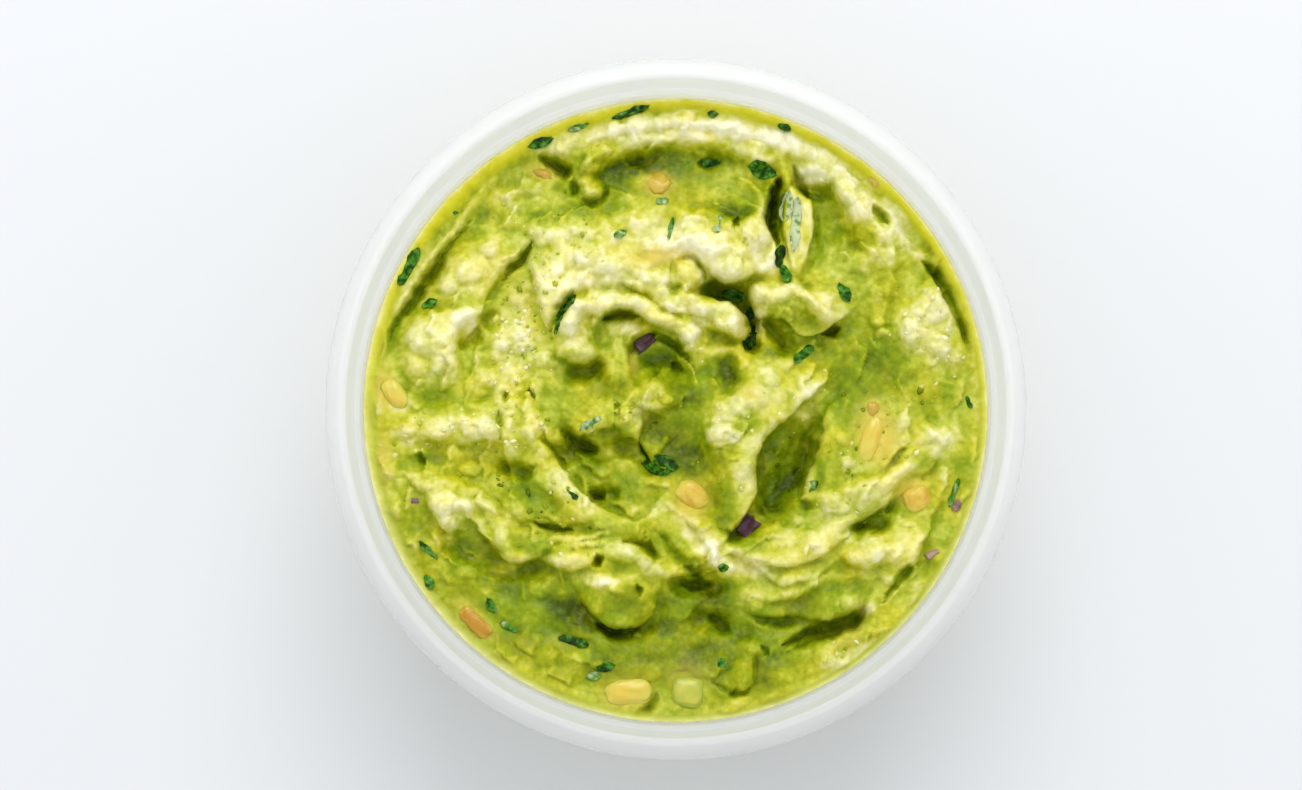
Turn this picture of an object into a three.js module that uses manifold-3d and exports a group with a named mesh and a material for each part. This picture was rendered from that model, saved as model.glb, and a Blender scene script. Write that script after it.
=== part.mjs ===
// Guacamole in its clear round deli tub. Millimetres, +Z up, origin at the middle of the tub's foot.
// The tub is one turned wall with a rolled rim. The dip fills it to just under the rim, stirred with a
// spoon into overlapping folds round a hollow, and firm pieces of avocado sit half sunk in its top.
import * as THREE from "three";
import { mergeVertices } from "three/addons/utils/BufferGeometryUtils.js";
import Module from "manifold-3d";

// ---- Driving dimensions ----
const TUB_HEIGHT = 57;
const RIM_RADIUS = 58.6; // outer edge of the rim's skirt
const CREST_RADIUS = 55.5; // top of the rolled rim
const SHOULDER_Z = 49.5; // stacking step, just over the dip
const SHOULDER_RADIUS = 53; // inner radius under the step
const SHOULDER_STEP = 0.9;
const FLOOR_RADIUS = 45; // inner radius at the floor
const FLOOR_Z = 2;
const FOOT_RECESS = 1.2; // the floor's underside stands clear of the table by this much
const FOOT_WIDTH = 2.6;
const WALL = 0.7;
const SKIRT_DROP = 5.6; // from the rim's crest to the skirt's lower edge

const FILL_Z = 46.5; // mean level of the dip
const GAP = 0.3; // clearance between touching pieces
const MENISCUS_HEIGHT = 0.9; // the dip's edge climbs the wall by this much
const MENISCUS_WIDTH = 2;

const TUB_SEGMENTS = 48;
const DIP_SEGMENTS = 100;
const DIP_RINGS = 26;
const CHUNK_DETAIL = 1;

// ---- The spoon's work, seen from above ----
// A hollow is pressed along a line from start through middle to end, deepest on the line.
const HOLLOWS = [
  { name: "deep pit", path: [[23, 1], [19, -8], [14, -18]], depth: 6.5, width: 5 },
  { name: "middle valley", path: [[-15, -7], [-7, -13], [5, -15]], depth: 4.5, width: 6.5 },
  { name: "eye of the swirl", path: [[-6, 10], [-2, 8], [4, 4]], depth: 3, width: 6 },
  { name: "pocket behind the eye", path: [[4, 20], [10, 19], [13, 12]], depth: 4.5, width: 3.6 },
  { name: "back trough", path: [[-13, 38], [0, 40], [15, 36]], depth: 2.5, width: 5 },
  { name: "left trough", path: [[-24, 26], [-31, 17], [-35, 8]], depth: 2, width: 3 },
  { name: "outer left trough", path: [[-30, 38], [-40, 26], [-46, 12]], depth: 2.2, width: 3 },
  { name: "front trough", path: [[-33, -26], [-15, -38], [6, -34]], depth: 3.2, width: 6 },
  { name: "right front trough", path: [[17, -38], [25, -37], [32, -33]], depth: 3, width: 3 },
  { name: "right trough", path: [[40, 24], [46, 16], [49, 8]], depth: 2.5, width: 2.5 },
  { name: "split", path: [[17, 39], [16, 32], [18, 23]], depth: 4, width: 3.2 },
];
// A fold stands up along its line. Its steep side is on the left (1) or the right (-1) of that way.
const FOLDS = [
  { name: "back fold", path: [[-20, 43], [2, 46], [20, 42]], height: 3.6, width: 5, steep: -1 },
  { name: "hook", path: [[-7, 44], [-14, 41], [-14, 36]], height: 2.4, width: 3, steep: 1 },
  { name: "upper right fold", path: [[19, 44], [31, 36], [39, 24]], height: 3, width: 6, steep: -1 },
  { name: "right shoulder", path: [[40, 20], [44, 12], [47, 2]], height: 2.6, width: 6, steep: 1 },
  { name: "outer left ridge", path: [[-31, 39], [-41, 27], [-49, 12]], height: 2, width: 2.2, steep: 1 },
  { name: "left fold", path: [[-24, 28], [-38, 19], [-44, 2]], height: 3.4, width: 6.5, steep: 1 },
  { name: "upper left mound", path: [[-22, 22], [-16, 26], [-8, 26]], height: 2.6, width: 8, steep: -1 },
  { name: "upper middle fold", path: [[-2, 27], [6, 26], [15, 26]], height: 3.8, width: 6, steep: -1 },
  { name: "ring fold", path: [[-19, 9], [-11, 18], [10, 15]], height: 4.2, width: 4.2, steep: -1 },
  { name: "knob", path: [[14, 18], [20, 20], [25, 14]], height: 4.4, width: 5, steep: -1 },
  { name: "right flap", path: [[20, 4], [13, -7], [9, -17]], height: 4.4, width: 5, steep: 1 },
  { name: "diagonal ridge", path: [[-30, 1], [-20, -10], [-7, -18]], height: 3.4, width: 4, steep: 1 },
  { name: "front crest", path: [[-5, -16], [2, -19], [8, -23]], height: 3.6, width: 4.5, steep: -1 },
  { name: "right front fold", path: [[10, -23], [25, -23], [42, -8]], height: 3.8, width: 5.5, steep: -1 },
  { name: "second front fold", path: [[12, -28], [24, -30], [36, -20]], height: 2.6, width: 4.5, steep: -1 },
  { name: "left front fold", path: [[-42, -5], [-37, -16], [-25, -25]], height: 3.6, width: 6, steep: -1 },
  { name: "front shelf", path: [[-20, -23], [-10, -25], [2, -26]], height: 2.8, width: 4.5, steep: -1 },
];
// A lump is a rounded piece of avocado under the skin of the dip.
const LUMPS = [
  { name: "front lump", at: [-9.5, -30.5], radius: 6.5, height: 3.6 },
  { name: "ring fold end", at: [-17.5, 9.5], radius: 4.5, height: 3.8 },
  { name: "pea", at: [1.7, 23], radius: 3, height: 3.2 },
  { name: "left lump", at: [-42, 9], radius: 6, height: 3.6 },
  { name: "left middle lump", at: [-33, -3], radius: 5, height: 3 },
  { name: "right lump", at: [33, -22], radius: 5.5, height: 3.4 },
];
// Firm avocado pieces half sunk in the top: place, half sizes, turn in degrees and how far the top stands out.
const CHUNKS = [
  { name: "front_left", at: [-8.2, -47.6], half: [4.8, 3, 2.6], turn: 4, proud: 1.5 },
  { name: "front", at: [2, -47.5], half: [3.4, 3.1, 2.6], turn: -10, proud: 1.2 },
  { name: "right", at: [33.1, -4.9], half: [5.6, 2.4, 2.3], turn: 72, proud: 1.1 },
  { name: "far_right", at: [40.9, -14.8], half: [3, 2.4, 2.2], turn: 25, proud: 1.1 },
  { name: "middle", at: [3, -14.5], half: [3.5, 2.6, 2.2], turn: -38, proud: 1.2 },
  { name: "left", at: [-47.2, 2.8], half: [3.3, 2.1, 2.2], turn: -58, proud: 1.2 },
  { name: "left_front", at: [-33.6, -35.8], half: [4, 1.8, 2.2], turn: -42, proud: 1 },
];

const LINE_STEPS = 14; // straight steps a spoon line is measured with
const RUN_DOWN = 5; // a fold or lump is this much lower at its width than at its crest
const STEEP_SHARE = 0.55; // a fold's steep side is this share of its gentle side's width
const END_DROP = 0.6; // a fold's ends are lower by this share of its height
const BLEND = 1; // how softly one fold runs into the next, mm
const SWELL = 0.35; // slow unevenness everywhere
const CHUNK_ROUGHNESS = 0.09;

// ---- Helpers ----
function smoothStep(low, high, value) {
  const t = THREE.MathUtils.clamp((value - low) / (high - low), 0, 1);
  return t * t * (3 - 2 * t);
}

function softMax(a, b, radius) {
  const h = THREE.MathUtils.clamp(0.5 + (0.5 * (b - a)) / radius, 0, 1);
  return THREE.MathUtils.lerp(a, b, h) + radius * h * (1 - h);
}

// The line's points, made once for each hollow and fold.
function lineOf({ path }) {
  return new THREE.SplineCurve(path.map(([x, y]) => new THREE.Vector2(x, y))).getPoints(LINE_STEPS);
}

// Where (x, y) lies from a line: how far across it (left is positive), how far past an end, how far from
// it in all, and how far along it the nearest point is (0 to 1).
function nearestOnLine(line, x, y) {
  let best = { distance: Infinity };
  for (let i = 0; i < line.length - 1; i++) {
    const a = line[i];
    const run = { x: line[i + 1].x - a.x, y: line[i + 1].y - a.y };
    const length = Math.hypot(run.x, run.y);
    const reach = ((x - a.x) * run.x + (y - a.y) * run.y) / length;
    const t = THREE.MathUtils.clamp(reach / length, 0, 1);
    const across = (run.x * (y - a.y) - run.y * (x - a.x)) / length;
    const beyond = reach - t * length;
    const distance = Math.hypot(across, beyond);
    if (distance < best.distance) best = { distance, across, beyond, along: (i + t) / (line.length - 1) };
  }
  return best;
}

// 1 on a hollow's line, 0 at its width and beyond.
function roundShoulder(share) {
  const s = Math.min(share, 1);
  return (1 - s * s) ** 2;
}

const hollowLines = HOLLOWS.map((hollow) => ({ ...hollow, line: lineOf(hollow) }));
const foldLines = FOLDS.map((fold) => ({ ...fold, line: lineOf(fold) }));

// Height of a fold at (x, y). It runs down from its crest on both sides, quicker on the steep one, so
// that the highest of several folds shows and a crease is left where two meet.
function foldHeight({ line, height, width, steep }, x, y) {
  const { across, beyond, along } = nearestOnLine(line, x, y);
  const crest = height * (1 - END_DROP * (2 * along - 1) ** 4);
  const side = across * steep > 0 ? width * STEEP_SHARE : width;
  return crest - RUN_DOWN * ((across / side) ** 2 + (beyond / width) ** 2);
}

function lumpHeight({ at, radius, height }, x, y) {
  return height - RUN_DOWN * (Math.hypot(x - at[0], y - at[1]) / radius) ** 2;
}

// Height of the dip's top over its mean level.
function relief(x, y) {
  const radius = Math.hypot(x, y);
  const turn = Math.atan2(y, x);
  let height = SWELL * (Math.sin(radius / 3.1 + 2 * turn) + Math.sin(x / 4.3) * Math.cos(y / 3.7));
  for (const hollow of hollowLines) {
    height -= hollow.depth * roundShoulder(nearestOnLine(hollow.line, x, y).distance / hollow.width);
  }
  for (const fold of foldLines) height = softMax(height, foldHeight(fold, x, y), BLEND);
  for (const lump of LUMPS) height = softMax(height, lumpHeight(lump, x, y), BLEND);
  const wall = smoothStep(dipRadius(FILL_Z) - MENISCUS_WIDTH, dipRadius(FILL_Z), radius);
  return THREE.MathUtils.lerp(height, MENISCUS_HEIGHT, wall);
}

function wallRadius(z) {
  return THREE.MathUtils.mapLinear(z, FLOOR_Z, SHOULDER_Z, FLOOR_RADIUS, SHOULDER_RADIUS);
}

function dipRadius(z) {
  return wallRadius(z) - GAP;
}

// ---- Solids ----
// Turns a profile of [radius, height] points round the Z axis.
function turned(profile, segments) {
  const points = profile.map(([radius, z]) => new THREE.Vector2(radius, z));
  return new THREE.LatheGeometry(points, segments).rotateX(Math.PI / 2);
}

function tubGeometry() {
  const neckTop = TUB_HEIGHT - 1;
  const neckRadius = CREST_RADIUS - 0.7;
  const stepRadius = SHOULDER_RADIUS + SHOULDER_STEP;
  const stepZ = SHOULDER_Z + 0.7;
  const footRadius = FLOOR_RADIUS + WALL - 0.8;
  const skirtZ = TUB_HEIGHT - SKIRT_DROP;
  const outside = [
    [0, FOOT_RECESS],
    [footRadius - FOOT_WIDTH - 0.6, FOOT_RECESS],
    [footRadius - FOOT_WIDTH, 0],
    [footRadius, 0],
    [FLOOR_RADIUS + WALL - 0.2, 0.5],
    [FLOOR_RADIUS + WALL, 1.4],
    [wallRadius(25) + WALL, 25],
    [SHOULDER_RADIUS + WALL, SHOULDER_Z],
    [stepRadius + WALL, stepZ],
    [neckRadius + WALL - 0.1, neckTop - 1.6],
  ];
  const rim = [
    [CREST_RADIUS + 0.6, TUB_HEIGHT - 1.5],
    [RIM_RADIUS - WALL - 0.7, TUB_HEIGHT - 3],
    [RIM_RADIUS - WALL, TUB_HEIGHT - 4.2],
    [RIM_RADIUS - WALL, skirtZ],
    [RIM_RADIUS, skirtZ],
    [RIM_RADIUS, TUB_HEIGHT - 3.9],
    [RIM_RADIUS - 0.7, TUB_HEIGHT - 2.4],
    [CREST_RADIUS + 1, TUB_HEIGHT - 0.5],
    [CREST_RADIUS, TUB_HEIGHT],
    [CREST_RADIUS - 0.5, TUB_HEIGHT - 0.3],
  ];
  const inside = [
    [neckRadius, neckTop],
    [stepRadius, stepZ],
    [SHOULDER_RADIUS, SHOULDER_Z],
    [wallRadius(25), 25],
    [wallRadius(FLOOR_Z + 2), FLOOR_Z + 2],
    [FLOOR_RADIUS - 1.6, FLOOR_Z],
    [0, FLOOR_Z],
  ];
  return turned([...outside, ...rim, ...inside], TUB_SEGMENTS);
}

function dipGeometry() {
  const bottom = FLOOR_Z + GAP;
  const edge = dipRadius(FILL_Z);
  const side = [
    [0, bottom],
    [FLOOR_RADIUS - 1.6 - GAP, bottom],
    [dipRadius(FLOOR_Z + 2), FLOOR_Z + 2 + GAP],
    [dipRadius(25), 25],
  ];
  const top = Array.from({ length: DIP_RINGS + 1 }, (_, i) => [edge * (1 - i / DIP_RINGS), FILL_Z]);
  const geometry = turned([...side, ...top], DIP_SEGMENTS);
  const place = geometry.getAttribute("position");
  for (let i = 0; i < place.count; i++) {
    if (Math.abs(place.getZ(i) - FILL_Z) < 1e-3) {
      place.setZ(i, FILL_Z + relief(place.getX(i), place.getY(i)));
    }
  }
  return geometry;
}

// A firm piece: a ball pressed towards a block, with uneven sides. grow widens it all round.
function chunkGeometry({ at, half, turn, proud }, grow = 0) {
  const geometry = new THREE.IcosahedronGeometry(1, CHUNK_DETAIL);
  const place = geometry.getAttribute("position");
  const phase = Math.hypot(...at);
  const point = new THREE.Vector3();
  for (let i = 0; i < place.count; i++) {
    point.fromBufferAttribute(place, i);
    const blocky = 1 / Math.cbrt(Math.abs(point.x) ** 3 + Math.abs(point.y) ** 3 + Math.abs(point.z) ** 3);
    const uneven = 1 + CHUNK_ROUGHNESS * Math.sin(3 * point.x + phase) * Math.cos(2.6 * point.y - phase);
    point.multiplyScalar(0.9 * blocky * uneven);
    place.setXYZ(i, ...point.toArray());
  }
  const [x, y] = at;
  return geometry
    .scale(half[0] + grow, half[1] + grow, half[2] + grow)
    .rotateZ(THREE.MathUtils.degToRad(turn))
    .translate(x, y, FILL_Z + relief(x, y) + proud - half[2]);
}

// ---- Booleans ----
const wasm = await Module();
wasm.setup();

function toManifold(geometry) {
  const bare = geometry.clone();
  bare.deleteAttribute("normal");
  bare.deleteAttribute("uv");
  const merged = mergeVertices(bare, 1e-3);
  return new wasm.Manifold(
    new wasm.Mesh({
      numProp: 3,
      vertProperties: merged.getAttribute("position").array,
      triVerts: new Uint32Array(merged.index.array),
    }),
  );
}

function toGeometry(solid) {
  const mesh = solid.getMesh();
  const geometry = new THREE.BufferGeometry();
  geometry.setAttribute("position", new THREE.BufferAttribute(mesh.vertProperties, 3));
  geometry.setIndex(new THREE.BufferAttribute(mesh.triVerts, 1));
  geometry.computeVertexNormals();
  return geometry;
}

// ---- The object ----
const plastic = new THREE.MeshStandardMaterial({
  name: "clear polypropylene",
  color: 0xe8ebec,
  roughness: 0.25,
  metalness: 0,
  transparent: true,
  opacity: 0.5,
});
const mash = new THREE.MeshStandardMaterial({ name: "mashed avocado", color: 0xb9be48, roughness: 0.45, metalness: 0 });
const flesh = new THREE.MeshStandardMaterial({ name: "firm avocado", color: 0xe2d266, roughness: 0.4, metalness: 0 });

function namedMesh(name, geometry, material) {
  const mesh = new THREE.Mesh(geometry, material);
  mesh.name = name;
  return mesh;
}

const guacamoleTub = new THREE.Group();
guacamoleTub.add(namedMesh("tub", tubGeometry(), plastic));

let dip = toManifold(dipGeometry());
for (const chunk of CHUNKS) {
  dip = dip.subtract(toManifold(chunkGeometry(chunk, GAP)));
  guacamoleTub.add(namedMesh(`avocado_chunk_${chunk.name}`, chunkGeometry(chunk), flesh));
}
guacamoleTub.add(namedMesh("guacamole", toGeometry(dip), mash));

export default guacamoleTub;
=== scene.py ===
"""Guacamole in its round deli tub: the finished look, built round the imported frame.

The tub is one turned wall of milky polypropylene with a rolled rim. The dip is mashed avocado that a
spoon has stirred into folds round a hollow, with firm avocado pieces half sunk in its top and
coriander and red onion through it.

Sizes are in millimetres, and MM turns them to metres. Places on the dip are given on a plan grid seen
from above, in columns and rows of PLAN_STEP, with rows counted towards the front.
"""

import logging
import math
from dataclasses import dataclass, field
from enum import Enum
from functools import cached_property
from typing import ClassVar

import bmesh
import bpy
import numpy as np
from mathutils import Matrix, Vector
from mathutils.kdtree import KDTree


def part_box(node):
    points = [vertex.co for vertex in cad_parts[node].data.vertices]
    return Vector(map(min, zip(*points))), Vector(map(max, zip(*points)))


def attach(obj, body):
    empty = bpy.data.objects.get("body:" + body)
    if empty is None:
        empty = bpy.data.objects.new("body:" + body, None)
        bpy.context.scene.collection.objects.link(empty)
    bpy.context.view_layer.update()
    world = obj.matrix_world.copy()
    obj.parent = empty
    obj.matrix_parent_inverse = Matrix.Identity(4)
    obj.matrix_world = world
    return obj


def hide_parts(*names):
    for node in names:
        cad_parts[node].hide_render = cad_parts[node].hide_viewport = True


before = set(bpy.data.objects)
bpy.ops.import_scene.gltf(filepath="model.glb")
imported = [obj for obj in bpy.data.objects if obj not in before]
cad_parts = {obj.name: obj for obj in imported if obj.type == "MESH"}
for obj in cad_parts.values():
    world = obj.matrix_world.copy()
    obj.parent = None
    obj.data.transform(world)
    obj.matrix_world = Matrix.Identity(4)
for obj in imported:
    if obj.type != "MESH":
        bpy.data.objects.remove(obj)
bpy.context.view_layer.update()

BODY = "root"
MM = 0.001

PLAN_STEP = 0.1685  # mm, one column or row of the plan grid
PLAN_MIDDLE = (677, 409)  # the column and row over the tub's middle

Points = tuple[tuple[float, ...], ...]
Stops = tuple[tuple[float, str], ...]
Field = np.ndarray
Socket = bpy.types.NodeSocket

log = logging.getLogger("guacamole_tub")


# ---------------------------------------------------------------- shared sizes


@dataclass(frozen=True)
class TubSizes:
    """The tub's sizes in mm, as its frame solid has them."""

    height: float = 57
    rim_radius: float = 58.6
    crest_radius: float = 55.5
    shoulder_z: float = 49.5
    shoulder_radius: float = 53
    shoulder_step: float = 0.9
    floor_radius: float = 45
    floor_z: float = 2
    foot_recess: float = 1.2
    foot_width: float = 2.6
    wall: float = 0.7
    skirt_drop: float = 5.6
    fill_z: float = 46.5

    def inner_radius(self, z: float) -> float:
        """Inside radius of the wall at height z, below the shoulder."""
        share = (z - self.floor_z) / (self.shoulder_z - self.floor_z)
        return self.floor_radius + share * (self.shoulder_radius - self.floor_radius)


TUB = TubSizes()


# ---------------------------------------------------------------- small tools


def on_plan(column: float, row: float) -> tuple[float, float]:
    """Turns a place on the plan grid to millimetres from the tub's middle."""
    return (column - PLAN_MIDDLE[0]) * PLAN_STEP, (PLAN_MIDDLE[1] - row) * PLAN_STEP


def turned(x: Field, y: Field, turn: float | Field, to: tuple[float, float] = (0, 0)) -> tuple[Field, Field]:
    """Turns places to the left round the origin and moves them.

    Args:
        x: The places' x.
        y: The places' y.
        turn: The angle in radians.
        to: Where the origin goes.

    Returns:
        The new places.
    """
    cos, sin = np.cos(turn), np.sin(turn)
    return to[0] + x * cos - y * sin, to[1] + x * sin + y * cos


def smooth_step(low: float, high: float, value: Field) -> Field:
    """Rises smoothly from 0 at low to 1 at high."""
    share = np.clip((value - low) / (high - low), 0, 1)
    return share * share * (3 - 2 * share)


def blurred(values: Field, cells: int) -> Field:
    """Blurs a square field.

    Args:
        values: The field, one value for each point of a square grid.
        cells: Half the width of the window that is averaged three times.

    Returns:
        The blurred field, close to a Gaussian blur.
    """
    window = 2 * cells + 1
    for _ in range(3):
        for _ in (0, 1):
            padded = np.pad(values, ((cells + 1, cells), (0, 0)), mode="edge")
            summed = np.cumsum(padded, axis=0)
            values = ((summed[window:] - summed[:-window]) / window).T
    return values


def new_object(name: str, bm: bmesh.types.BMesh, material: bpy.types.Material) -> bpy.types.Object:
    """Turns a finished bmesh, in mm, into a smooth shaded object in metres at the origin.

    Args:
        name: The piece's name.
        bm: The shape in mm. It is freed.
        material: The finish of all its faces.

    Returns:
        The new object, linked to the scene.
    """
    bmesh.ops.scale(bm, vec=(MM, MM, MM), verts=bm.verts)
    for face in bm.faces:
        face.smooth = True
    mesh = bpy.data.meshes.new(name)
    bm.to_mesh(mesh)
    bm.free()
    mesh.materials.append(material)
    obj = bpy.data.objects.new(name, mesh)
    bpy.context.scene.collection.objects.link(obj)
    return obj


def add_attribute(obj: bpy.types.Object, name: str, values: Field) -> None:
    """Stores one number for each vertex, for a material to read."""
    stored = obj.data.attributes.new(name, "FLOAT", "POINT")
    stored.data.foreach_set("value", values.astype(np.float32).ravel())


def place_on_body(obj: bpy.types.Object, slot: str, *nodes: str) -> bpy.types.Object:
    """Rides a piece on the body and lets it stand for frame nodes.

    Args:
        obj: The piece.
        slot: The record's material slot. It is not used.
        nodes: The frame nodes that it replaces, if any.

    Returns:
        The same piece.
    """
    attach(obj, BODY)
    if nodes:
        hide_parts(*nodes)
    return obj


class PlaneNoise:
    """Seeded smooth noise and round lumps over the plane."""

    TABLE = 256

    def __init__(self, seed: int) -> None:
        """Draws the tables that the noise is made from."""
        rng = np.random.default_rng(seed)
        self._order = rng.permutation(self.TABLE)
        turn = rng.uniform(0, 2 * np.pi, self.TABLE)
        self._slope = np.stack([np.cos(turn), np.sin(turn)], 1)
        self._draw = rng.random((self.TABLE, 4))

    def _entry(self, i: Field, j: Field) -> Field:
        """The table entry of cell (i, j)."""
        last = self.TABLE - 1
        return self._order[(self._order[i & last] + j) & last]

    def wave(self, x: Field, y: Field, octaves: int = 1) -> Field:
        """Smooth noise of about -1 to 1 with a cell of one unit.

        Args:
            x: Places along the first axis, in cells.
            y: Places along the second axis, in cells.
            octaves: How many finer layers are summed, each of half the size and height.

        Returns:
            The noise at each place.
        """
        total, norm = np.zeros_like(x), 0.0
        for octave in range(octaves):
            step, share = 2**octave, 0.5**octave
            total = total + share * self._single(x * step + 17.3 * octave, y * step - 9.1 * octave)
            norm += share
        return total / norm

    def _single(self, x: Field, y: Field) -> Field:
        """One layer of gradient noise."""
        i, j = np.floor(x).astype(int), np.floor(y).astype(int)
        fx, fy = x - i, y - j
        sx, sy = (f**3 * (f * (f * 6 - 15) + 10) for f in (fx, fy))

        def corner(di: int, dj: int) -> Field:
            slope = self._slope[self._entry(i + di, j + dj)]
            return slope[..., 0] * (fx - di) + slope[..., 1] * (fy - dj)

        low = corner(0, 0) * (1 - sx) + corner(1, 0) * sx
        high = corner(0, 1) * (1 - sx) + corner(1, 1) * sx
        return 1.5 * (low * (1 - sy) + high * sy)

    def blobs(self, x: Field, y: Field, share: float) -> Field:
        """Soft round lumps that run into each other, at most one in each cell.

        Args:
            x: Places along the first axis, in cells.
            y: Places along the second axis, in cells.
            share: The share of cells that hold a lump.

        Returns:
            Heights from 0 to about 1.
        """
        i, j = np.floor(x).astype(int), np.floor(y).astype(int)
        gathered = np.zeros(x.shape)
        for di in (-1, 0, 1):
            for dj in (-1, 0, 1):
                draw = self._draw[self._entry(i + di, j + dj)]
                radius = 0.38 + 0.42 * draw[..., 2]
                away = ((x - i - di - draw[..., 0]) ** 2 + (y - j - dj - draw[..., 1]) ** 2) / radius**2
                height = np.where(draw[..., 3] < share, 0.4 + 0.6 * draw[..., 2], 0)
                gathered += (height * np.clip(1 - away, 0, 1)) ** 4
        return gathered**0.25


# ---------------------------------------------------------------- the spoon's strokes


class Low(Enum):
    """The side of a fold's line, going along it, that lies lower."""

    LEFT = 1
    RIGHT = -1


@dataclass
class Ground:
    """The dip's top while strokes are laid on it: one value for each of its points, in mm."""

    x: Field
    y: Field
    z: Field
    lean_x: Field
    lean_y: Field
    near: Field
    run: Field
    across: Field

    @classmethod
    def flat(cls, x: Field, y: Field) -> "Ground":
        """A level ground at the given places."""
        zero = [np.zeros(x.shape) for _ in range(5)]
        return cls(x, y, zero[0], zero[1], zero[2], np.full(x.shape, 99.0), zero[3], zero[4])

    def inside(self, line: Field, reach: float) -> Field:
        """Marks the points within reach of a line's box."""
        low, high = line[:, :2].min(0) - reach, line[:, :2].max(0) + reach
        return (self.x > low[0]) & (self.x < high[0]) & (self.y > low[1]) & (self.y < high[1])


@dataclass(frozen=True)
class Nearest:
    """Where points lie from a line: signed distance across it (left is positive), how far beyond an
    end, how far along, the line's own value there, the distance in all, and the line's direction."""

    across: Field
    beyond: Field
    along: Field
    value: Field
    distance: Field
    way_x: Field
    way_y: Field


def spline(knots: Points, step: float = 0.8) -> Field:
    """Draws a smooth line through knots on the plan grid.

    Args:
        knots: Columns and rows, and a value in mm where the line has one.
        step: Spacing of the line's points in mm.

    Returns:
        Points in mm, with the value as a third column where there is one.
    """
    k = np.array([(*on_plan(*knot[:2]), *knot[2:]) for knot in knots], float)
    k = np.vstack([2 * k[0] - k[1], k, 2 * k[-1] - k[-2]])
    drawn = []
    for a, b, c, d in zip(k, k[1:], k[2:], k[3:]):
        count = max(2, int(math.dist(b[:2], c[:2]) / step))
        t = np.linspace(0, 1, count, endpoint=False)[:, None]
        drawn.append(
            0.5 * (2 * b + (c - a) * t + (2 * a - 5 * b + 4 * c - d) * t**2 + (3 * b - a - 3 * c + d) * t**3)
        )
    return np.vstack([*drawn, k[-2][None]])


def nearest_on(line: Field, x: Field, y: Field) -> Nearest:
    """Measures points against a line.

    Args:
        line: The line's points in mm, with an optional value as a third column.
        x: The points' x in mm.
        y: The points' y in mm.

    Returns:
        Where each point lies from the line.
    """
    best = np.full(x.shape, np.inf)
    across, beyond, along, value, way_x, way_y = (np.zeros(x.shape) for _ in range(6))
    start = 0.0
    for a, b in zip(line[:-1], line[1:]):
        length = math.dist(a[:2], b[:2])
        if length < 1e-9:
            continue
        ux, uy = (b[:2] - a[:2]) / length
        dx, dy = x - a[0], y - a[1]
        reach = dx * ux + dy * uy
        on_line = np.clip(reach, 0, length)
        side = ux * dy - uy * dx
        past = reach - on_line
        squared = side * side + past * past
        closer = squared < best
        best[closer], across[closer], beyond[closer] = squared[closer], side[closer], past[closer]
        along[closer] = start + on_line[closer]
        way_x[closer], way_y[closer] = ux, uy
        if len(a) > 2:
            value[closer] = a[2] + (b[2] - a[2]) * on_line[closer] / length
        start += length
    return Nearest(across, beyond, along, value, np.sqrt(best), way_x, way_y)


@dataclass(frozen=True)
class Oval:
    """A turned oval on the plan grid: its middle, what it adds there, its half sizes in grid steps,
    and its turn to the left in degrees."""

    name: str
    at: tuple[float, float]
    amount: float
    reach: tuple[float, float]
    turn: float = 0

    def away(self, x: Field, y: Field) -> Field:
        """Squared distance of points in mm from the oval's middle, 1 on its edge."""
        x0, y0 = on_plan(*self.at)
        along, across = turned(x - x0, y - y0, -math.radians(self.turn))
        return (along / (self.reach[0] * PLAN_STEP)) ** 2 + (across / (self.reach[1] * PLAN_STEP)) ** 2


class Mound(Oval):
    """A broad soft swelling, or a broad dip where its amount, in mm, is below zero."""

    def lay(self, ground: Ground) -> None:
        """Adds the swelling to the ground."""
        ground.z += self.amount * np.exp(-self.away(ground.x, ground.y))


class Lump(Oval):
    """A round piece of avocado under the skin of the dip, its amount in mm."""

    def lay(self, ground: Ground) -> None:
        """Adds the lump to the ground."""
        ground.z += self.amount * np.clip(1 - self.away(ground.x, ground.y), 0, 1) ** 0.8


class Shade(Oval):
    """A turned oval patch of tone on the dip: above zero paler and lumpier, below zero more olive and
    smoother. Among the dip's tone patches, many dark ones are painted shadow and painted shade under edges
    and in creases, pockets and hollows, and many pale ones are painted light on lit crests and slopes; the
    rest are the mash's own paler and more olive patches. A smear patch gives how much firm avocado is
    smeared in.
    """

    def tint(self, x: Field, y: Field) -> Field:
        """How much paler the patch makes each point."""
        return self.amount * np.exp(-(self.away(x, y) ** 1.5))


@dataclass(frozen=True)
class Hollow:
    """A rounded groove pressed along a line, deepest on the line."""

    name: str
    knots: Points
    depth: float
    width: float

    def lay(self, ground: Ground) -> None:
        """Presses the groove into the ground."""
        line, width = spline(self.knots), self.width * PLAN_STEP
        m = ground.inside(line, width)
        share = np.clip(nearest_on(line, ground.x[m], ground.y[m]).distance / width, 0, 1)
        ground.z[m] -= self.depth * (1 - share**2) ** 2


@dataclass(frozen=True)
class Slit:
    """A narrow gap between two folds, widest in its middle, or as wide as its knots' third number says."""

    name: str
    knots: Points
    depth: float
    width: float

    def lay(self, ground: Ground) -> None:
        """Cuts the gap into the ground."""
        line, width = spline(self.knots), self.width * PLAN_STEP
        m = ground.inside(line, width)
        near = nearest_on(line, ground.x[m], ground.y[m])
        length = max(near.along.max(initial=0), 1e-6)
        middling = 0.3 + 0.7 * np.abs(np.sin(np.pi * near.along / length)) ** 0.7
        taper = np.clip(near.value if line.shape[1] > 2 else middling, 0.05, 1)
        ground.z[m] -= self.depth * taper**0.5 * np.clip(1 - near.distance / (width * taper), 0, 1) ** 1.2


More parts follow.
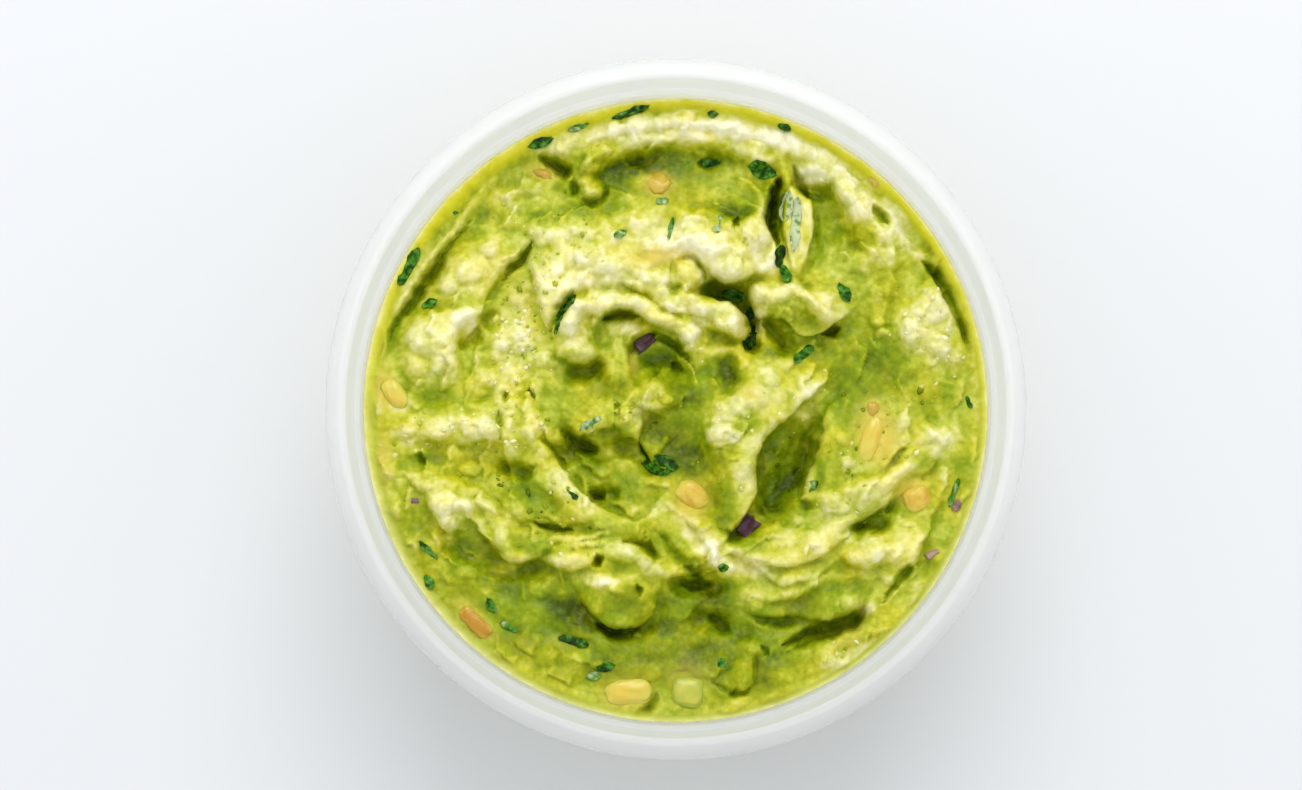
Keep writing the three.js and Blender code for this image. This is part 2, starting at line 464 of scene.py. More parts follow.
@dataclass(frozen=True)
class Ridge:
    """A rounded strand of mash lying along a line, whose knots give its height."""

    name: str
    knots: Points
    width: float

    def lay(self, ground: Ground, uneven: PlaneNoise) -> None:
        """Lays the strand on the ground.

        Args:
            ground: The dip's top so far.
            uneven: The noise that thickens and thins the strand.
        """
        line, width = spline(self.knots), self.width * PLAN_STEP
        m = ground.inside(line, 1.5 * width)
        x, y = ground.x[m], ground.y[m]
        near = nearest_on(line, x, y)
        swell = 1 + 0.25 * uneven.wave(x / 2.6, y / 2.6 + 11)
        ground.z[m] += near.value * swell * np.clip(1 - (near.distance / (width * swell)) ** 2, 0, 1) ** 0.8


@dataclass(frozen=True)
class Fold:
    """An edge where one layer of mash stands over another.

    high and low are how far each side's slope reaches, in grid steps. share is the part of the rise
    that stands over the level, cliff the half width of the step in mm, and lean how far the edge
    hangs over its low side in mm. The knots give the rise along the line.
    """

    name: str
    knots: Points
    high: float
    low: float
    side: Low
    share: float = 0.6
    cliff: float = 0.5
    lean: float = 0.0

    END: ClassVar[float] = 1.6  # mm, how softly a fold runs out at its ends
    FULL_LEAN: ClassVar[float] = 2.5  # mm, the rise from which the edge leans all it can
    HANG: ClassVar[float] = 1.5  # mm, how far in from the edge the layer leans with it

    def lay(self, ground: Ground, uneven: PlaneNoise) -> None:
        """Raises one side of the line over the other.

        Args:
            ground: The dip's top so far.
            uneven: The noise that varies the rise.
        """
        high, low, line = self.high * PLAN_STEP, self.low * PLAN_STEP, spline(self.knots)
        m = ground.inside(line, 2.2 * max(high, low) + 1)
        x, y = ground.x[m], ground.y[m]
        near = nearest_on(line, x, y)
        swell = 1 + 0.22 * uneven.wave(x / 3, y / 3, 2)
        rise = near.value * swell * np.exp(-((near.beyond / self.END) ** 2))
        leaning = self.lean * np.clip(rise / self.FULL_LEAN, 0, 1)
        inward = -near.across * self.side.value - leaning
        over = 0.5 * (1 + np.tanh(inward / self.cliff))
        crest = np.exp(-((inward / high) ** 2)) * (1 - 0.25 * np.exp(-(inward**2)))
        foot = np.exp(-((inward / low) ** 2))
        ground.z[m] += rise * (over * self.share * crest - (1 - over) * (1 - self.share) * foot)
        hang = leaning * self.side.value * over * np.exp(-((inward / self.HANG) ** 2))
        ground.lean_x[m] -= hang * near.way_y
        ground.lean_y[m] += hang * near.way_x
        closer = near.distance < ground.near[m]
        for kept, value in (
            (ground.near, near.distance),
            (ground.run, near.along),
            (ground.across, near.across),
        ):
            kept[m] = np.where(closer, value, kept[m])


MOUNDS = (
    Mound("upper left slab", (570, 262), 1.8, (34, 44), 10),
    Mound("first lobe mass", (468, 268), 1.4, (30, 34), 40),
    Mound("second lobe mass", (436, 348), 1.8, (32, 36)),
    Mound("third lobe mass", (448, 500), 1.8, (28, 26), -30),
    Mound("beads mass", (480, 425), 1.2, (85, 20)),
    Mound("upper centre", (725, 240), 2.0, (56, 34)),
    Mound("upper lumps", (640, 268), 1.4, (36, 26)),
    Mound("knob mass", (800, 305), 1.8, (40, 22)),
    Mound("right outer mass", (850, 205), 1.6, (30, 60), 40),
    Mound("right lump mass", (928, 322), 1.6, (30, 40)),
    Mound("flap mass", (740, 415), 2.6, (44, 60), -30),
    Mound("middle mass", (660, 385), 1.0, (50, 30)),
    Mound("right slab", (870, 480), 1.4, (50, 30), 15),
    Mound("leaf mass", (780, 545), 1.2, (60, 26)),
    Mound("front lumps mass", (610, 565), 1.8, (62, 30)),
    Mound("right front mass", (880, 545), 1.2, (40, 26)),
    Mound("low left plain", (520, 590), -1.6, (80, 44), -20),
    Mound("low right plain", (720, 630), -1.4, (90, 34), 5),
    Mound("right plain", (860, 365), -0.8, (40, 40)),
    Mound("centre bowl", (640, 465), -2.2, (58, 36)),
    Mound("valley bowl", (785, 455), -2.4, (36, 60), 25),
    Mound("back bowl", (670, 180), -1.0, (90, 26)),
    Mound("pocket bowl", (725, 300), -1.2, (34, 24)),
    Mound("curl bowl", (650, 345), -1.2, (50, 24)),
    Mound("left shade", (500, 465), -0.8, (60, 14)),
    Mound("olive left", (424, 395), -0.4, (24, 12)),
)

HOLLOWS = (
    Hollow("deep valley", ((812, 432), (805, 450), (794, 470), (783, 488), (776, 500)), 2.8, 24),
    Hollow("pocket behind curl", ((714, 288), (724, 291), (738, 294), (749, 310), (753, 342)), 3.6, 13),
    Hollow("left groove", ((438, 260), (422, 284), (408, 306)), 0.6, 13),
    Hollow("knob hollow", ((764, 322), (778, 332), (790, 345)), 1.8, 15),
    Hollow("middle dark", ((560, 456), (584, 446), (600, 452)), 1.6, 18),
    Hollow("middle dark 2", ((598, 494), (614, 494)), 0.7, 14),
    Hollow("middle dark 3", ((622, 446), (640, 452), (652, 466)), 1.6, 15),
    Hollow("lobe pocket", ((462, 340), (474, 334)), 1.4, 14),
    Hollow("third lobe pocket", ((508, 468), (528, 470)), 1.4, 13),
    Hollow("under third lobe", ((452, 542), (480, 552), (510, 566), (545, 562)), 1.4, 20),
    Hollow("under round lump", ((580, 612), (600, 628), (625, 636), (648, 628)), 0.6, 14),
    Hollow("under centre", ((680, 584), (700, 586), (716, 586)), 1.8, 16),
    Hollow("under centre 2", ((700, 618), (722, 622), (745, 632)), 1.2, 16),
    Hollow("under beads", ((414, 458), (450, 450), (495, 452)), 0.5, 18),
    Hollow("under curl end", ((568, 372), (596, 372)), 0.7, 18),
    Hollow("inner eye", ((655, 360), (680, 362), (705, 370)), 1.1, 20),
    Hollow("right front groove", ((930, 468), (905, 488), (880, 510), (850, 526)), 1.6, 16),
    Hollow("upper right shade", ((822, 190), (836, 208), (840, 232)), 1.4, 18),
    Hollow("eye bowl", ((648, 358), (666, 364), (684, 376)), 1.6, 22),
    Hollow("right of the eye", ((727, 362), (730, 376), (730, 386)), 1.2, 16),
    Hollow("below the grain lump", ((657, 426), (674, 432), (690, 438)), 0.8, 30),
    Hollow("curl end pocket", ((574, 369), (586, 371), (598, 366)), 0.8, 11),
    Hollow("fin left", ((652, 526), (664, 545), (684, 566)), 0.9, 14),
    Hollow("crest pocket", ((598, 492), (612, 493)), 1.5, 11),
    Hollow("knob facet", ((770, 312), (792, 316), (816, 322)), 1.2, 18),
    Hollow("front right groove", ((856, 622), (830, 631), (800, 640)), 1.2, 12),
)

FOLDS = (
    Fold("upper band lip", ((614, 284, 0.3), (628, 288, 1), (642, 293, 1.5), (655, 300, 0.8)), 12, 8,
        Low.RIGHT, 0.6, 0.4, 0.3),
    Fold("back ridge", ((528, 153, 0.6), (548, 161, 1.2), (572, 169, 1.6), (590, 172, 2),
        (612, 165, 2.8), (640, 150, 3.6), (680, 144, 3.8), (711, 147, 3.6), (735, 154, 3),
        (760, 162, 2.2), (783, 171, 1.4), (795, 180, 0.5)), 26, 22, Low.RIGHT, 0.5, 1.1),
    Fold("back band gap", ((585, 146, 0.4), (620, 131, 1.0), (660, 126, 1.0), (720, 129, 1.0),
        (760, 140, 0.6)), 8, 9, Low.RIGHT, 0.5, 0.5),
    Fold("hook", ((606, 156, 1.2), (592, 166, 1.6), (580, 172, 1.6), (574, 186, 1.2)), 12, 12, Low.LEFT,
        0.6, 0.5),
    Fold("right outer inner edge", ((790, 150, 0.6), (806, 172, 1.2), (822, 180, 1.8), (838, 194, 2.2),
        (846, 214, 2.2), (854, 234, 1.6), (868, 252, 1), (884, 268, 0.5)), 34, 26, Low.RIGHT, 0.6, 0.8,
        0.3),
    Fold("right outer edge", ((838, 156, 0.6), (862, 185, 1.4), (886, 208, 1.8), (905, 230, 1.6),
        (918, 246, 0.8)), 22, 12, Low.LEFT, 0.6, 0.8),
    Fold("right crease", ((892, 238, 0.6), (897, 262, 1.4), (894, 285, 1.6), (888, 305, 1.4),
        (885, 322, 0.6)), 16, 22, Low.LEFT, 0.5, 0.5),
    Fold("outer slab edge", ((504, 168, 0.3), (490, 186, 0.5), (466, 216, 0.7), (448, 242, 1),
        (430, 267, 1.8), (413, 293, 2), (402, 314, 1.4), (390, 338, 0.5)), 11, 14, Low.LEFT, 0.5, 0.5,
        0.2),
    Fold("first lobe top", ((500, 222, 0.6), (480, 234, 1.4), (462, 246, 1.8), (448, 262, 2.0),
        (436, 284, 1.8), (428, 300, 0.8)), 26, 14, Low.RIGHT, 0.6, 0.8),
    Fold("first lobe crease", ((536, 240, 0.4), (526, 252, 1.6), (513, 264, 2), (497, 284, 2.4),
        (486, 308, 2.4), (478, 328, 2.2), (467, 341, 1.8), (458, 350, 0.8)), 26, 13, Low.LEFT, 0.6, 0.5,
        0.6),
    Fold("second lobe crest", ((500, 306, 0.6), (486, 314, 1.6), (466, 322, 2.4), (458, 336, 2.4),
        (462, 352, 1.4), (460, 366, 0.6)), 20, 16, Low.LEFT, 0.5, 0.6, 0.4),
    Fold("second lobe outer", ((420, 312, 0.8), (408, 334, 1.8), (404, 356, 1.8), (408, 380, 1.2),
        (414, 392, 0.5)), 24, 12, Low.RIGHT, 0.7, 0.8),
    Fold("slab left edge", ((526, 256, 0.5), (531, 270, 1.8), (537, 290, 2.2), (541, 312, 2.4),
        (550, 330, 2.2), (558, 342, 0.8)), 34, 20, Low.RIGHT, 0.6, 0.45, 0.3),
    Fold("slab foot", ((584, 282, 0.3), (574, 296, 1), (564, 310, 2), (556, 332, 1.8), (553, 345, 0.6)),
        26, 14, Low.LEFT, 0.5, 0.5, 0.2),
    Fold("curl under", ((597, 352, 0.6), (597, 332, 1.6), (604, 317, 2.8), (620, 311, 3.2),
        (640, 315, 2.2), (658, 326, 2), (676, 334, 1.6), (692, 344, 0.6)), 10, 20, Low.RIGHT, 0.35, 0.5,
        0.6),
    Fold("curl back", ((566, 312, 0.8), (590, 292, 0.5), (625, 291, 0.3), (665, 290, 0.4),
        (700, 295, 1.4), (727, 301, 2.6), (748, 311, 3), (753, 328, 2.4), (748, 342, 0.8)), 8, 10,
        Low.LEFT, 0.3, 0.5, 0.2),
    Fold("curl end foot", ((552, 350, 0.6), (564, 359, 2), (584, 366, 2.4), (598, 357, 2),
        (603, 340, 0.8)), 14, 14, Low.RIGHT, 0.5, 0.7, 0.5),
    Fold("strand under", ((700, 322, 0.5), (712, 328, 1.6), (724, 333, 2.4), (736, 338, 2.2),
        (744, 340, 1)), 10, 14, Low.RIGHT, 0.5, 0.4, 0.5),
    Fold("inner skirt", ((602, 330, 0.4), (600, 350, 0.8), (604, 374, 1), (616, 396, 1),
        (634, 408, 0.5)), 16, 18, Low.RIGHT, 0.5, 1),
    Fold("upper lump edge", ((600, 262, 0.3), (612, 276, 0.6), (630, 284, 0.8), (650, 288, 1),
        (670, 292, 1), (682, 294, 0.4)), 18, 12, Low.RIGHT, 0.6, 0.6, 0.2),
    Fold("upper centre lip", ((690, 252, 0.8), (703, 266, 2.2), (713, 278, 3.4), (730, 285, 4),
        (746, 283, 3.6), (756, 277, 2), (768, 270, 0.6)), 26, 16, Low.RIGHT, 0.45, 0.8, 0.8),
    Fold("upper centre top", ((672, 222, 0.6), (690, 212, 1.4), (706, 206, 1.6), (722, 212, 2.0),
        (740, 220, 2.2), (752, 212, 1.8), (766, 206, 1.2), (776, 206, 0.5)), 26, 16, Low.LEFT, 0.55,
        0.5, 0.2),
    Fold("crevice left", ((782, 178, 0.8), (773, 196, 2.4), (770, 215, 2.8), (772, 232, 2.2),
        (778, 248, 0.8)), 16, 6, Low.LEFT, 0.4, 0.3, 0.2),
    Fold("sliver right", ((796, 184, 0.8), (810, 196, 2), (816, 210, 2.8), (815, 235, 2.8),
        (809, 258, 2.2), (802, 276, 0.8)), 14, 12, Low.LEFT, 0.5, 0.35, 0.4),
    Fold("sliver left", ((795, 184, 0.8), (785, 200, 2.2), (782, 222, 2.4), (787, 244, 2.2),
        (792, 262, 1.4), (793, 278, 0.5)), 12, 7, Low.RIGHT, 0.5, 0.3, 0.2),
    Fold("stalk right", ((790, 165, 0.5), (798, 178, 1.8), (806, 192, 2.2), (816, 198, 1.2)), 8, 12,
        Low.LEFT, 0.4, 0.4, 0.2),
    Fold("knob top", ((748, 300, 0.6), (756, 286, 1.8), (770, 280, 2.0), (796, 286, 2.2),
        (812, 292, 2.0), (832, 290, 1.4), (850, 292, 0.6)), 22, 10, Low.LEFT, 0.6, 0.5, 0.2),
    Fold("knob facet edge", ((752, 306, 1.2), (756, 320, 2.6), (766, 318, 2.2), (780, 320, 2.0),
        (788, 326, 2.6), (796, 336, 3.2), (812, 338, 3.0), (828, 332, 3.0), (842, 322, 2.2),
        (852, 312, 0.8)), 20, 20, Low.RIGHT, 0.5, 0.4, 0.9),
    Fold("flap crest", ((834, 366, 0.4), (829, 381, 1.4), (816, 396, 2.4), (798, 412, 3.4),
        (780, 428, 4.4), (765, 444, 5.2), (760, 462, 5.4), (762, 480, 5), (759, 498, 4.2),
        (751, 512, 3), (740, 526, 2), (729, 538, 0.8)), 34, 26, Low.LEFT, 0.5, 0.4, 0.8),
    Fold("flap left side", ((770, 362, 0.4), (745, 372, 1.2), (722, 392, 1.8), (706, 420, 2.4),
        (706, 445, 2.2), (716, 470, 1.6), (722, 490, 0.6)), 22, 26, Low.RIGHT, 0.5, 1.2, 0.2),
    Fold("middle edge", ((580, 436, 0.8), (592, 434, 1.6), (603, 430, 2.0), (616, 428, 2.2),
        (626, 438, 2.4), (638, 442, 2.6), (646, 454, 2.4), (652, 464, 1.4), (662, 468, 0.5)), 26, 18,
        Low.RIGHT, 0.6, 0.4, 0.6),
    Fold("tongue right edge", ((643, 404, 0.8), (644, 420, 1.8), (642, 436, 2.2), (647, 450, 1.8),
        (652, 458, 0.8)), 26, 26, Low.LEFT, 0.5, 0.35, 0.4),
    Fold("grain lump lip", ((632, 402, 0.6), (645, 409, 1.8), (659, 412, 2.2), (674, 406, 1.8),
        (686, 397, 0.6)), 18, 22, Low.RIGHT, 0.5, 0.35, 0.4),
    Fold("onion lip", ((640, 330, 0.6), (656, 332, 1.8), (672, 339, 2.2), (684, 346, 2.4),
        (691, 356, 2), (690, 366, 0.8)), 12, 16, Low.RIGHT, 0.6, 0.35, 0.4),
    Fold("skirt inner edge", ((626, 342, 0.8), (630, 358, 1.6), (633, 374, 1.8), (638, 388, 1.4),
        (645, 396, 0.6)), 10, 22, Low.LEFT, 0.5, 0.4, 0.2),
    Fold("tongue edge", ((646, 408, 0.5), (668, 420, 1.2), (690, 420, 1.4), (706, 408, 0.8)), 22, 18,
        Low.RIGHT, 0.5, 0.9),
    Fold("valley right lip", ((836, 398, 0.5), (825, 414, 2.2), (822, 438, 3), (816, 458, 3.2),
        (806, 476, 3.2), (801, 494, 2.4), (796, 508, 0.8)), 26, 16, Low.RIGHT, 0.5, 0.35, 0.4),
    Fold("bead foot", ((396, 436, 0.4), (416, 442, 1.2), (450, 443, 1.3), (480, 440, 1.3),
        (504, 444, 1.2), (526, 444, 1.0), (545, 440, 0.5)), 16, 18, Low.RIGHT, 0.55, 0.6, 0.3),
    Fold("bead back", ((398, 412, 0.5), (430, 404, 1.0), (470, 404, 1.0), (510, 396, 1.0),
        (545, 402, 0.4)), 16, 12, Low.LEFT, 0.6, 0.8),
    Fold("thin crest", ((534, 430, 0.5), (549, 445, 1.8), (558, 458, 2.6), (567, 471, 3.4),
        (578, 484, 3.8), (590, 497, 4), (602, 506, 4), (622, 514, 3.8), (640, 518, 3.4),
        (653, 507, 2.4), (661, 497, 0.8)), 24, 26, Low.LEFT, 0.5, 0.35, 0.4),
    Fold("crest under", ((520, 470, 0.6), (545, 490, 1.4), (565, 510, 1.6), (590, 524, 1.4),
        (612, 530, 0.6)), 14, 20, Low.RIGHT, 0.5, 0.7, 0.2),
    Fold("third lobe edge", ((400, 466, 0.5), (414, 484, 1.2), (428, 504, 1.6), (438, 522, 1.8),
        (452, 536, 1.6), (466, 524, 1), (474, 518, 0.4)), 26, 22, Low.RIGHT, 0.6, 0.6, 0.4),
    Fold("third lobe ridge", ((462, 510, 0.3), (474, 521, 1), (486, 537, 2), (500, 555, 2.6),
        (514, 564, 2.8), (532, 560, 2.4), (548, 552, 1)), 20, 20, Low.RIGHT, 0.6, 0.4, 0.5),
    Fold("third lobe shelf", ((500, 500, 0.5), (520, 520, 1.2), (548, 524, 1.6), (574, 524, 1.4),
        (590, 520, 0.5)), 16, 12, Low.RIGHT, 0.6, 0.4, 0.3),
    Fold("front lumps foot", ((540, 556, 0.6), (552, 568, 2.0), (575, 572, 2.6), (590, 568, 2.4),
        (600, 574, 1.0)), 18, 20, Low.RIGHT, 0.6, 0.5, 0.6),
    Fold("round lump foot", ((574, 580, 0.6), (583, 600, 1.6), (598, 619, 2.4), (618, 630, 2.8),
        (642, 625, 2.4), (656, 608, 1.6), (661, 590, 1), (668, 580, 0.4)), 18, 10, Low.RIGHT, 0.5, 0.4,
        0.5),
    Fold("right of round lump", ((650, 574, 0.6), (676, 578, 1.6), (700, 574, 2.4), (712, 568, 1.6),
        (720, 570, 0.8)), 18, 18, Low.RIGHT, 0.6, 0.5, 0.5),
    Fold("centre crevice", ((612, 540, 0.5), (632, 542, 1.6), (648, 548, 2), (658, 558, 1.6),
        (664, 566, 0.6)), 12, 10, Low.LEFT, 0.4, 0.4, 0.2),
    Fold("centre fin", ((660, 496, 0.6), (670, 507, 1.2), (686, 519, 1.6), (701, 537, 2),
        (709, 553, 2.2), (716, 566, 1.2)), 18, 16, Low.RIGHT, 0.6, 0.4, 0.4),
    Fold("centre fin back", ((660, 494, 0.5), (680, 500, 1.4), (704, 510, 1.6), (722, 530, 1.8),
        (730, 540, 0.8)), 18, 14, Low.LEFT, 0.6, 0.5, 0.2),
    Fold("leaf top", ((756, 532, 0.8), (768, 525, 1.8), (778, 522, 1.8), (796, 528, 1.6),
        (814, 528, 1.8), (832, 520, 1.6), (850, 514, 0.8)), 18, 12, Low.LEFT, 0.6, 0.4, 0.2),
    Fold("leaf low edge", ((732, 546, 0.8), (752, 559, 2), (775, 569, 2.6), (802, 567, 2.6),
        (825, 557, 2.2), (842, 544, 1.4), (853, 530, 0.6)), 20, 16, Low.RIGHT, 0.6, 0.4, 0.7),
    Fold("second leaf", ((728, 550, 0.8), (746, 560, 1.6), (760, 572, 2), (775, 583, 2.2),
        (792, 585, 2), (814, 578, 1.6), (838, 560, 0.6)), 16, 14, Low.RIGHT, 0.6, 0.4, 0.6),
    Fold("third leaf", ((742, 590, 0.6), (756, 598, 1.6), (778, 602, 2), (800, 598, 2), (822, 586, 1.4),
        (838, 572, 0.6)), 16, 14, Low.RIGHT, 0.6, 0.5, 0.5),
    Fold("shelf edge", ((736, 606, 0.6), (760, 615, 2), (782, 618, 2.4), (800, 617, 2), (815, 621, 2.4),
        (832, 621, 2.4), (852, 613, 2), (868, 605, 0.8)), 22, 18, Low.RIGHT, 0.6, 0.4, 0.6),
    Fold("front right lip", ((776, 658, 0.4), (790, 651, 1), (806, 645, 1.8), (835, 636, 2.6),
        (858, 626, 3), (866, 608, 1.8), (872, 594, 0.6)), 22, 10, Low.LEFT, 0.4, 0.4, 0.2),
    Fold("right slab edge", ((836, 534, 0.6), (850, 526, 2), (868, 519, 2.6), (886, 509, 2.8),
        (903, 497, 2.6), (920, 483, 2.2), (935, 466, 1.4), (943, 452, 0.5)), 24, 18, Low.RIGHT, 0.55,
        0.45, 0.4),
    Fold("right slab back", ((812, 494, 0.5), (840, 486, 1.2), (866, 478, 1.4), (884, 472, 1.6),
        (898, 458, 1.4), (911, 443, 0.8)), 18, 12, Low.LEFT, 0.5, 0.6),
    Fold("right lumps foot", ((838, 548, 0.6), (846, 562, 2.0), (866, 570, 2.2), (886, 562, 1.8),
        (905, 566, 1.2), (916, 560, 0.5)), 18, 16, Low.RIGHT, 0.6, 0.5, 0.5),
    Fold("right rim ridge", ((938, 505, 0.6), (934, 520, 1.6), (927, 540, 1.8), (917, 560, 1.6),
        (904, 580, 1.2), (892, 598, 0.5)), 10, 14, Low.LEFT, 0.5, 0.4, 0.3),
    Fold("right chunk edge", ((900, 512, 0.5), (918, 516, 1.2), (934, 510, 1.2), (944, 496, 0.5)), 14,
        12, Low.RIGHT, 0.5, 0.6, 0.3),
    Fold("wall crevice edge", ((916, 254, 0.5), (928, 268, 1.8), (940, 284, 2.2), (951, 306, 2.2),
        (960, 328, 2), (968, 348, 0.6)), 20, 14, Low.LEFT, 0.5, 0.4, 0.3),
    Fold("right lump foot", ((960, 366, 0.5), (940, 360, 1.2), (918, 352, 1.6), (902, 340, 1.8),
        (894, 322, 1.6), (898, 304, 0.6)), 24, 18, Low.LEFT, 0.5, 1.0, 0.2),
    Fold("right small lumps", ((866, 306, 0.5), (872, 326, 1.2), (884, 338, 1.2), (898, 344, 0.5)), 16,
        14, Low.RIGHT, 0.5, 0.8),
    Fold("low left line", ((520, 604, 0.4), (545, 618, 1.0), (572, 632, 1.2), (601, 640, 1.0),
        (625, 650, 0.4)), 16, 16, Low.RIGHT, 0.5, 0.7, 0.2),
    Fold("low left line 2", ((446, 566, 0.4), (470, 590, 0.9), (500, 612, 1.0), (530, 628, 0.5)), 20,
        20, Low.RIGHT, 0.5, 1.2),
    Fold("low crack", ((752, 640, 0.3), (757, 660, 0.8), (756, 680, 0.7), (748, 692, 0.3)), 14, 12,
        Low.LEFT, 0.5, 0.5),
)

RIDGES = (
    Ridge("curl strand", ((648, 290, 0.8), (668, 298, 2.2), (695, 302, 2.8), (716, 308, 3),
        (734, 318, 2.8), (741, 328, 2)), 13),
    Ridge("curl post", ((574, 312, 0.8), (575, 330, 1.6), (579, 348, 1.2)), 15),
    Ridge("pocket strand", ((586, 476, 0.5), (588, 492, 1.2), (586, 508, 0.5)), 4),
    Ridge("back band", ((560, 144, 0.3), (600, 130, 0.9), (640, 121, 1.0), (690, 118, 1.0),
        (740, 123, 0.9), (775, 134, 0.5)), 11),
    Ridge("hook stalk", ((604, 152, 1.0), (590, 164, 1.4), (586, 178, 1.2)), 9),
    Ridge("outer thin ridge", ((498, 177, 0.3), (467, 213, 0.7), (447, 240, 0.8), (428, 266, 0.8),
        (409, 293, 0.7), (398, 314, 0.3)), 5),
    Ridge("curl tube", ((562, 346, 1.6), (566, 324, 2.6), (576, 310, 2.8), (594, 303, 2.6),
        (620, 302, 2.4), (645, 306, 2.2), (666, 314, 2.2), (690, 328, 1.4)), 12),
    Ridge("inner skirt ridge", ((612, 330, 0.4), (608, 352, 0.8), (612, 376, 0.6)), 10),
    Ridge("upper lump band", ((604, 266, 0.6), (626, 262, 1.0), (646, 272, 1.2), (668, 283, 0.8)), 10),
    Ridge("upper lump band 2", ((628, 250, 0.4), (650, 243, 0.8), (672, 244, 0.6)), 9),
    Ridge("stalk", ((784, 164, 0.5), (787, 178, 1.2), (791, 188, 0.8)), 5),
    Ridge("knob ridge", ((792, 284, 0.8), (806, 298, 1.2), (822, 314, 1.2), (838, 318, 0.6)), 7),
    Ridge("knob left ridge", ((756, 292, 0.8), (768, 296, 1.0), (790, 292, 0.8)), 8),
    Ridge("crest line", ((534, 440, 0.3), (551, 456, 0.5), (564, 471, 0.7), (577, 485, 0.7),
        (591, 500, 0.7), (610, 510, 0.6), (640, 519, 0.5)), 5),
    Ridge("third lobe ridge line", ((450, 480, 0.3), (478, 494, 0.6), (492, 510, 0.8), (502, 530, 0.9),
        (514, 552, 0.9), (535, 553, 0.6)), 8),
    Ridge("fin 1", ((541, 537, 0.4), (575, 538, 0.9), (606, 532, 0.6)), 4),
    Ridge("fin 2", ((545, 545, 0.3), (575, 545, 0.7), (606, 542, 0.5)), 4),
)

